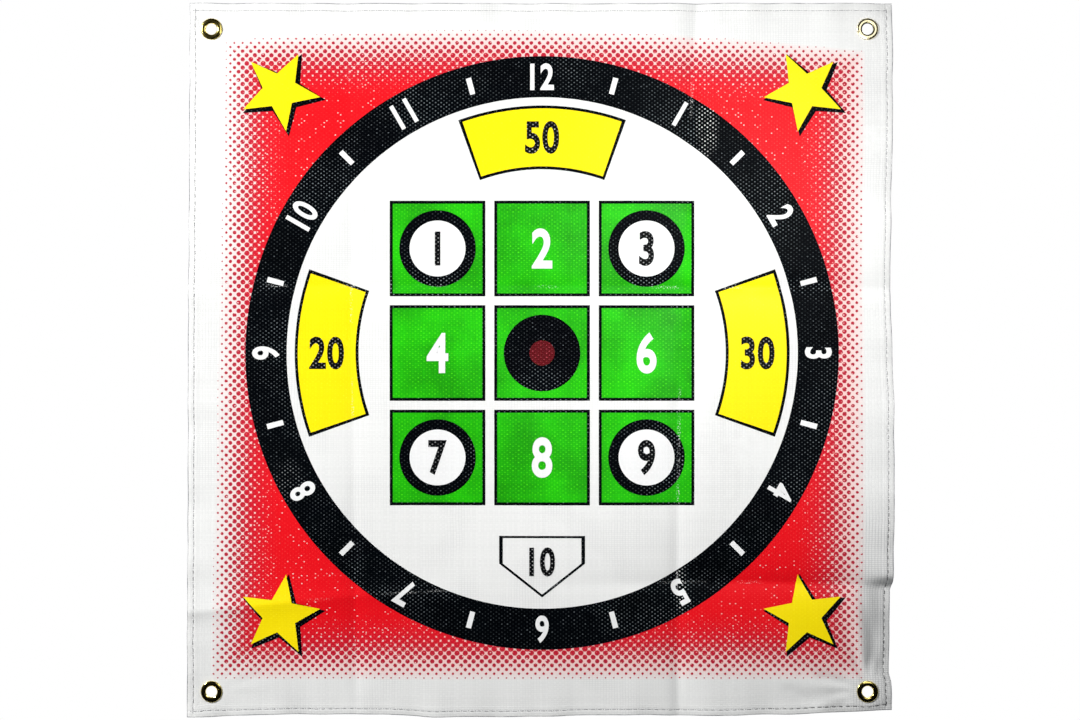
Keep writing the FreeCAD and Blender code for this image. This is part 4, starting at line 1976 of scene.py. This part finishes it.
@dataclass(frozen=True)
class Eyelet:
    """Brass eyelet and its washer, clinched through the cloth. Shoulder, crown and throat are how far the
    flange's edge, dome and bore's rim stand off the cloth, and curl is half the width of the curl on the
    back."""

    centre: Place
    corner: Corner
    brass: Brass
    washer_brass: Brass = Brass(film=0.0, roughness=0.2)
    fitting: Fitting = Fitting()
    bore: float = 12 * MM
    flange: float = 23 * MM
    shoulder: float = 1.25 * MM
    crown: float = 1.95 * MM
    throat: float = 1.35 * MM
    bends: tuple[float, ...] = (0.8 * MM, 6 * MM, 1.0 * MM)
    curl: float = 0.6 * MM
    curl_bend: float = 0.98
    curl_wave: float = 0.10 * MM
    flange_wave: float = 0.05 * MM
    washer_diameter: float = 22.4 * MM
    washer_seat: float = 1.9 * MM
    washer_rise: float = 0.6 * MM
    washer_slope: float = 0.7 * MM
    washer_bend: float = 0.45 * MM
    washer_clearance: float = 0.1 * MM

    def eyelet(self, effects: Effects) -> Piece:
        """Domed flange on the front, neck through the cloth, and its curl on the back, whose end waves in and
        out.
        """
        thick = self.fitting.thickness
        front, back = -CLOTH_THICKNESS / 2, CLOTH_THICKNESS / 2
        rim = self.flange / 2 - thick / 2
        neck = self.bore / 2 + thick / 2
        top = back + thick + self.curl + thick / 2
        curled = neck + 2 * self.curl
        dome = ((rim + neck) / 2, front - self.crown + thick / 2)
        corners = [(rim, front), (rim, front - self.shoulder), dome, (neck, front - self.throat), (neck, top),
                   (curled, top), (curled, back + thick)]
        line = self.fitting.middle_line(corners, [*self.bends, *[self.curl * self.curl_bend] * 2])
        phase = 1.3 * self.corner.sign_x + 0.7 * self.corner.sign_z

        def dented(radius: Array, y: Array, angle: Array) -> Grid:
            """Curl's end waves in and out, and the flange is not quite flat."""
            in_curl = np.clip((y - back) / (top - back), 0, 1) * np.clip((radius - neck) / self.curl, 0, 1)
            wave = np.sin(6 * angle + phase) + 0.5 * np.sin(13 * angle)
            in_flange = np.clip((front - y) / self.crown, 0, 1)
            return (radius + self.curl_wave * wave * in_curl,
                    y + self.flange_wave * in_flange * np.sin(2 * angle + phase))

        name = "clinched_eyelet_" + self.corner.label
        piece = self.fitting.ring(name, self.centre, line, dented)
        piece.data.materials.append(self.brass.material(name, self.centre, effects))
        return piece

    def washer(self, effects: Effects) -> Piece:
        """Ring behind the cloth, gripped by the curl, with a raised outer ring."""
        thick = self.fitting.thickness
        back = CLOTH_THICKNESS / 2
        inner = self.bore / 2 + thick + self.washer_clearance
        outer = self.washer_diameter / 2 - thick / 2
        seat = back + thick / 2
        slope = inner + self.washer_seat
        corners = [(inner, seat), (slope, seat), (slope + self.washer_slope, seat + self.washer_rise),
                   (outer, seat + self.washer_rise), (outer, back)]
        line = self.fitting.middle_line(corners, [self.washer_bend] * 3)

        def true(radius: Array, y: Array, angle: Array) -> Grid:
            """Round and flat, as pressed."""
            return radius + angle * 0, y

        name = "brass_washer_" + self.corner.label
        piece = self.fitting.ring(name, self.centre, line, true)
        piece.data.materials.append(self.washer_brass.material(name, self.centre, effects))
        return piece


# The films differ from ring to ring, partly tarnish and partly painted light, darker at the lower corners;
# the top right ring's paler colour is a painted highlight, and its dark ring round the bore painted shade.
BRASSES = {
    Corner.TOP_LEFT: Brass(film=-0.02, roughness=0.12),
    Corner.TOP_RIGHT: Brass(film=-0.30, roughness=0.16, mouth=1.1, bright=(0.98, 0.88, 0.55)),
    Corner.BOTTOM_LEFT: Brass(film=0.04, roughness=0.10),
    Corner.BOTTOM_RIGHT: Brass(film=0.10, roughness=0.10),
}


# Studio


@dataclass(frozen=True)
class Lamp:
    """Square soft lamp that looks at the middle of the sheet, with its width and its power in watts."""

    name: str
    place: tuple[float, float, float]
    size: float
    power: float

    def make(self) -> None:
        """Puts the lamp in the scene."""
        data = bpy.data.lights.new(self.name, "AREA")
        data.size = self.size
        data.energy = self.power
        lamp = bpy.data.objects.new(self.name, data)
        lamp.location = self.place
        lamp.rotation_euler = (-lamp.location).to_track_quat("-Z", "Y").to_euler()
        lamp.visible_camera = False
        bpy.context.scene.collection.objects.link(lamp)


@dataclass(frozen=True)
class Studio:
    """Camera, lamps, floor and background."""

    picture_width: int = 1080
    pixel: float = 1.0717 * MM
    view_centre: Place = (0.5 * MM, 0.4 * MM)
    camera_distance: float = 2.7
    lamps: tuple[Lamp, ...] = (
        Lamp("key", (-1.41, -1.18, 0.60), size=0.45, power=40.5),
        Lamp("fill", (0.26, -0.51, 0.18), size=0.25, power=2.5),
        Lamp("back", (0.9, 1.5, 1.1), size=0.9, power=48.0),
    )
    world_colour: Colour = (0.92, 0.96, 1.0)
    world_light: float = 0.14
    floor_drop: float = 0.17
    floor_radius: float = 3.5
    floor_fade: Fade = Fade(0.35, 1.15)
    floor_colours: tuple[Colour, Colour] = ((0.86, 0.86, 0.85), (0.9, 0.9, 0.89))
    room_radius: float = 3.2
    room_colours: tuple[Colour, Colour] = ((0.004, 0.004, 0.004), (0.012, 0.012, 0.012))
    window_place: tuple[float, float, float] = (0.80, -3.0, 0.80)
    window_radius: float = 0.8
    window_light: float = 1.6

    def camera(self) -> None:
        """Square-on camera whose picture is as wide, at the sheet, as the photograph's."""
        data = bpy.data.cameras.new("camera")
        data.sensor_fit = "HORIZONTAL"
        data.lens = data.sensor_width * self.camera_distance / (self.picture_width * self.pixel)
        camera = bpy.data.objects.new("camera", data)
        camera.location = (self.view_centre[0], -self.camera_distance, self.view_centre[1])
        camera.rotation_euler = (math.pi / 2, 0, 0)
        bpy.context.scene.collection.objects.link(camera)
        bpy.context.scene.camera = camera

    def world(self) -> None:
        """Even grey light on the object, and plain white wherever the background itself is seen."""
        world = bpy.data.worlds.new("studio")
        world.use_nodes = True
        bpy.context.scene.world = world
        graph = Graph(world.node_tree)
        light = {"Color": self.world_colour, "Strength": self.world_light}
        shown = graph.node("ShaderNodeMixShader", {
            0: graph.seen_by("Camera", "Glossy", "Transmission"),
            1: graph.made("ShaderNodeBackground", 0, light),
            2: graph.made("ShaderNodeBackground", 0, {"Color": (1.0, 1.0, 1.0)}),
        })
        graph.node("ShaderNodeOutputWorld", {"Surface": shown.outputs[0]})

    def floor(self, bottom: float) -> None:
        """Pale round floor below the hanging sheet, which fades into the white background."""
        rings = np.linspace(self.floor_radius, 0.0, 12)
        angle, radius = np.meshgrid(-around(64), rings, indexing="ij")
        height = np.full_like(radius, bottom - self.floor_drop)
        points = np.stack([radius * np.cos(angle), radius * np.sin(angle), height], axis=-1)
        floor = build("floor", points, grid_faces(*radius.shape, wrap=True)[:, ::-1])
        graph = Surface("pale floor")
        place = graph.place()
        x, y, _ = graph.split(place)
        faded = square_sum(x, y).root().faded(self.floor_fade)
        shown = graph.node("ShaderNodeMixShader", {
            0: faded * graph.seen_by("Camera", "Glossy"),
            1: graph.shader.outputs[0],
            2: graph.made("ShaderNodeEmission", 0),
        })
        graph.feed(graph.output.inputs["Surface"], shown.outputs[0])
        floor.data.materials.append(graph.complete({
            "Base Color": graph.mix(graph.noise(place, 0.3), *self.floor_colours),
            "Roughness": 0.8,
        }))
        floor.visible_glossy = False
        floor.visible_diffuse = False

    def dark_room(self) -> None:
        """Dark half sphere round the front with one bright window, seen only in reflections: it keeps the ink
        deep and gives the brass its dark and bright sides."""
        turns, rises = np.linspace(0, math.pi, 33), np.linspace(-math.pi / 2, math.pi / 2, 17)
        turn, rise = np.meshgrid(turns, rises, indexing="ij")
        points = np.stack([np.cos(turn) * np.cos(rise), -np.sin(turn) * np.cos(rise), np.sin(rise)], axis=-1)
        room = build("dark_room", self.room_radius * points, grid_faces(*turn.shape))
        graph = Surface("dark room")
        place = graph.place()
        ends = {0: place, 1: self.window_place}
        apart = graph.made("ShaderNodeVectorMath", "Value", ends, operation="DISTANCE")
        window = apart.faded(Fade(self.window_radius, 0.7 * self.window_radius))
        room.data.materials.append(graph.complete({
            "Base Color": graph.mix(graph.noise(place, 0.8), *self.room_colours),
            "Emission Color": graph.mix(window, (0.0, 0.0, 0.0), (1.0, 1.0, 1.0)),
            "Emission Strength": self.window_light,
            "Roughness": 1.0,
            "Specular IOR Level": 0.0,
        }))
        room.visible_camera = False
        room.visible_diffuse = False
        room.visible_shadow = False
        room.visible_transmission = False

    def make(self, bottom: float) -> None:
        """Sets up the studio and plain colour output."""
        bpy.context.scene.view_settings.view_transform = "Standard"
        self.camera()
        self.world()
        for lamp in self.lamps:
            lamp.make()
        self.floor(bottom)
        self.dark_room()


def main() -> None:
    """Builds the studio and every piece, and reports each."""
    logging.basicConfig(level=logging.INFO, format="%(message)s")
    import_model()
    cloth = Cloth()
    effects = Effects.make(cloth)
    Studio().make(cloth.edge[Side.BOTTOM])

    maker = Sheet(cloth)
    sheet = maker.make(effects)
    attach(sheet, "root")
    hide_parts("target_sheet")

    press = Press(cloth, effects)
    inks = TargetPrint(press, Figures(press)).make()
    for piece in inks:
        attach(piece, "root")

    seams = []
    threads = (("needle_thread_", -1, maker.front), ("bobbin_thread_", 1, maker.hem_back))
    for side in Side:
        for thread, outward, face in threads:
            node = thread + side.value
            seam = Seam(cloth, node, side, outward, face).make()
            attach(seam, "root")
            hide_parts(node)
            seams.append(seam)

    rings = []
    for corner, brass in BRASSES.items():
        eyelet = Eyelet(cloth.eyelets[corner], corner, brass)
        for piece, node in ((eyelet.eyelet(effects), "eyelet_"), (eyelet.washer(effects), "washer_")):
            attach(piece, "root")
            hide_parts(node + corner.label)
            rings.append(piece)

    for piece in (sheet, *inks, *seams, *rings):
        log.info("%s: %d faces", piece.name, len(piece.data.polygons))


if __name__ == "__main__":
    main()
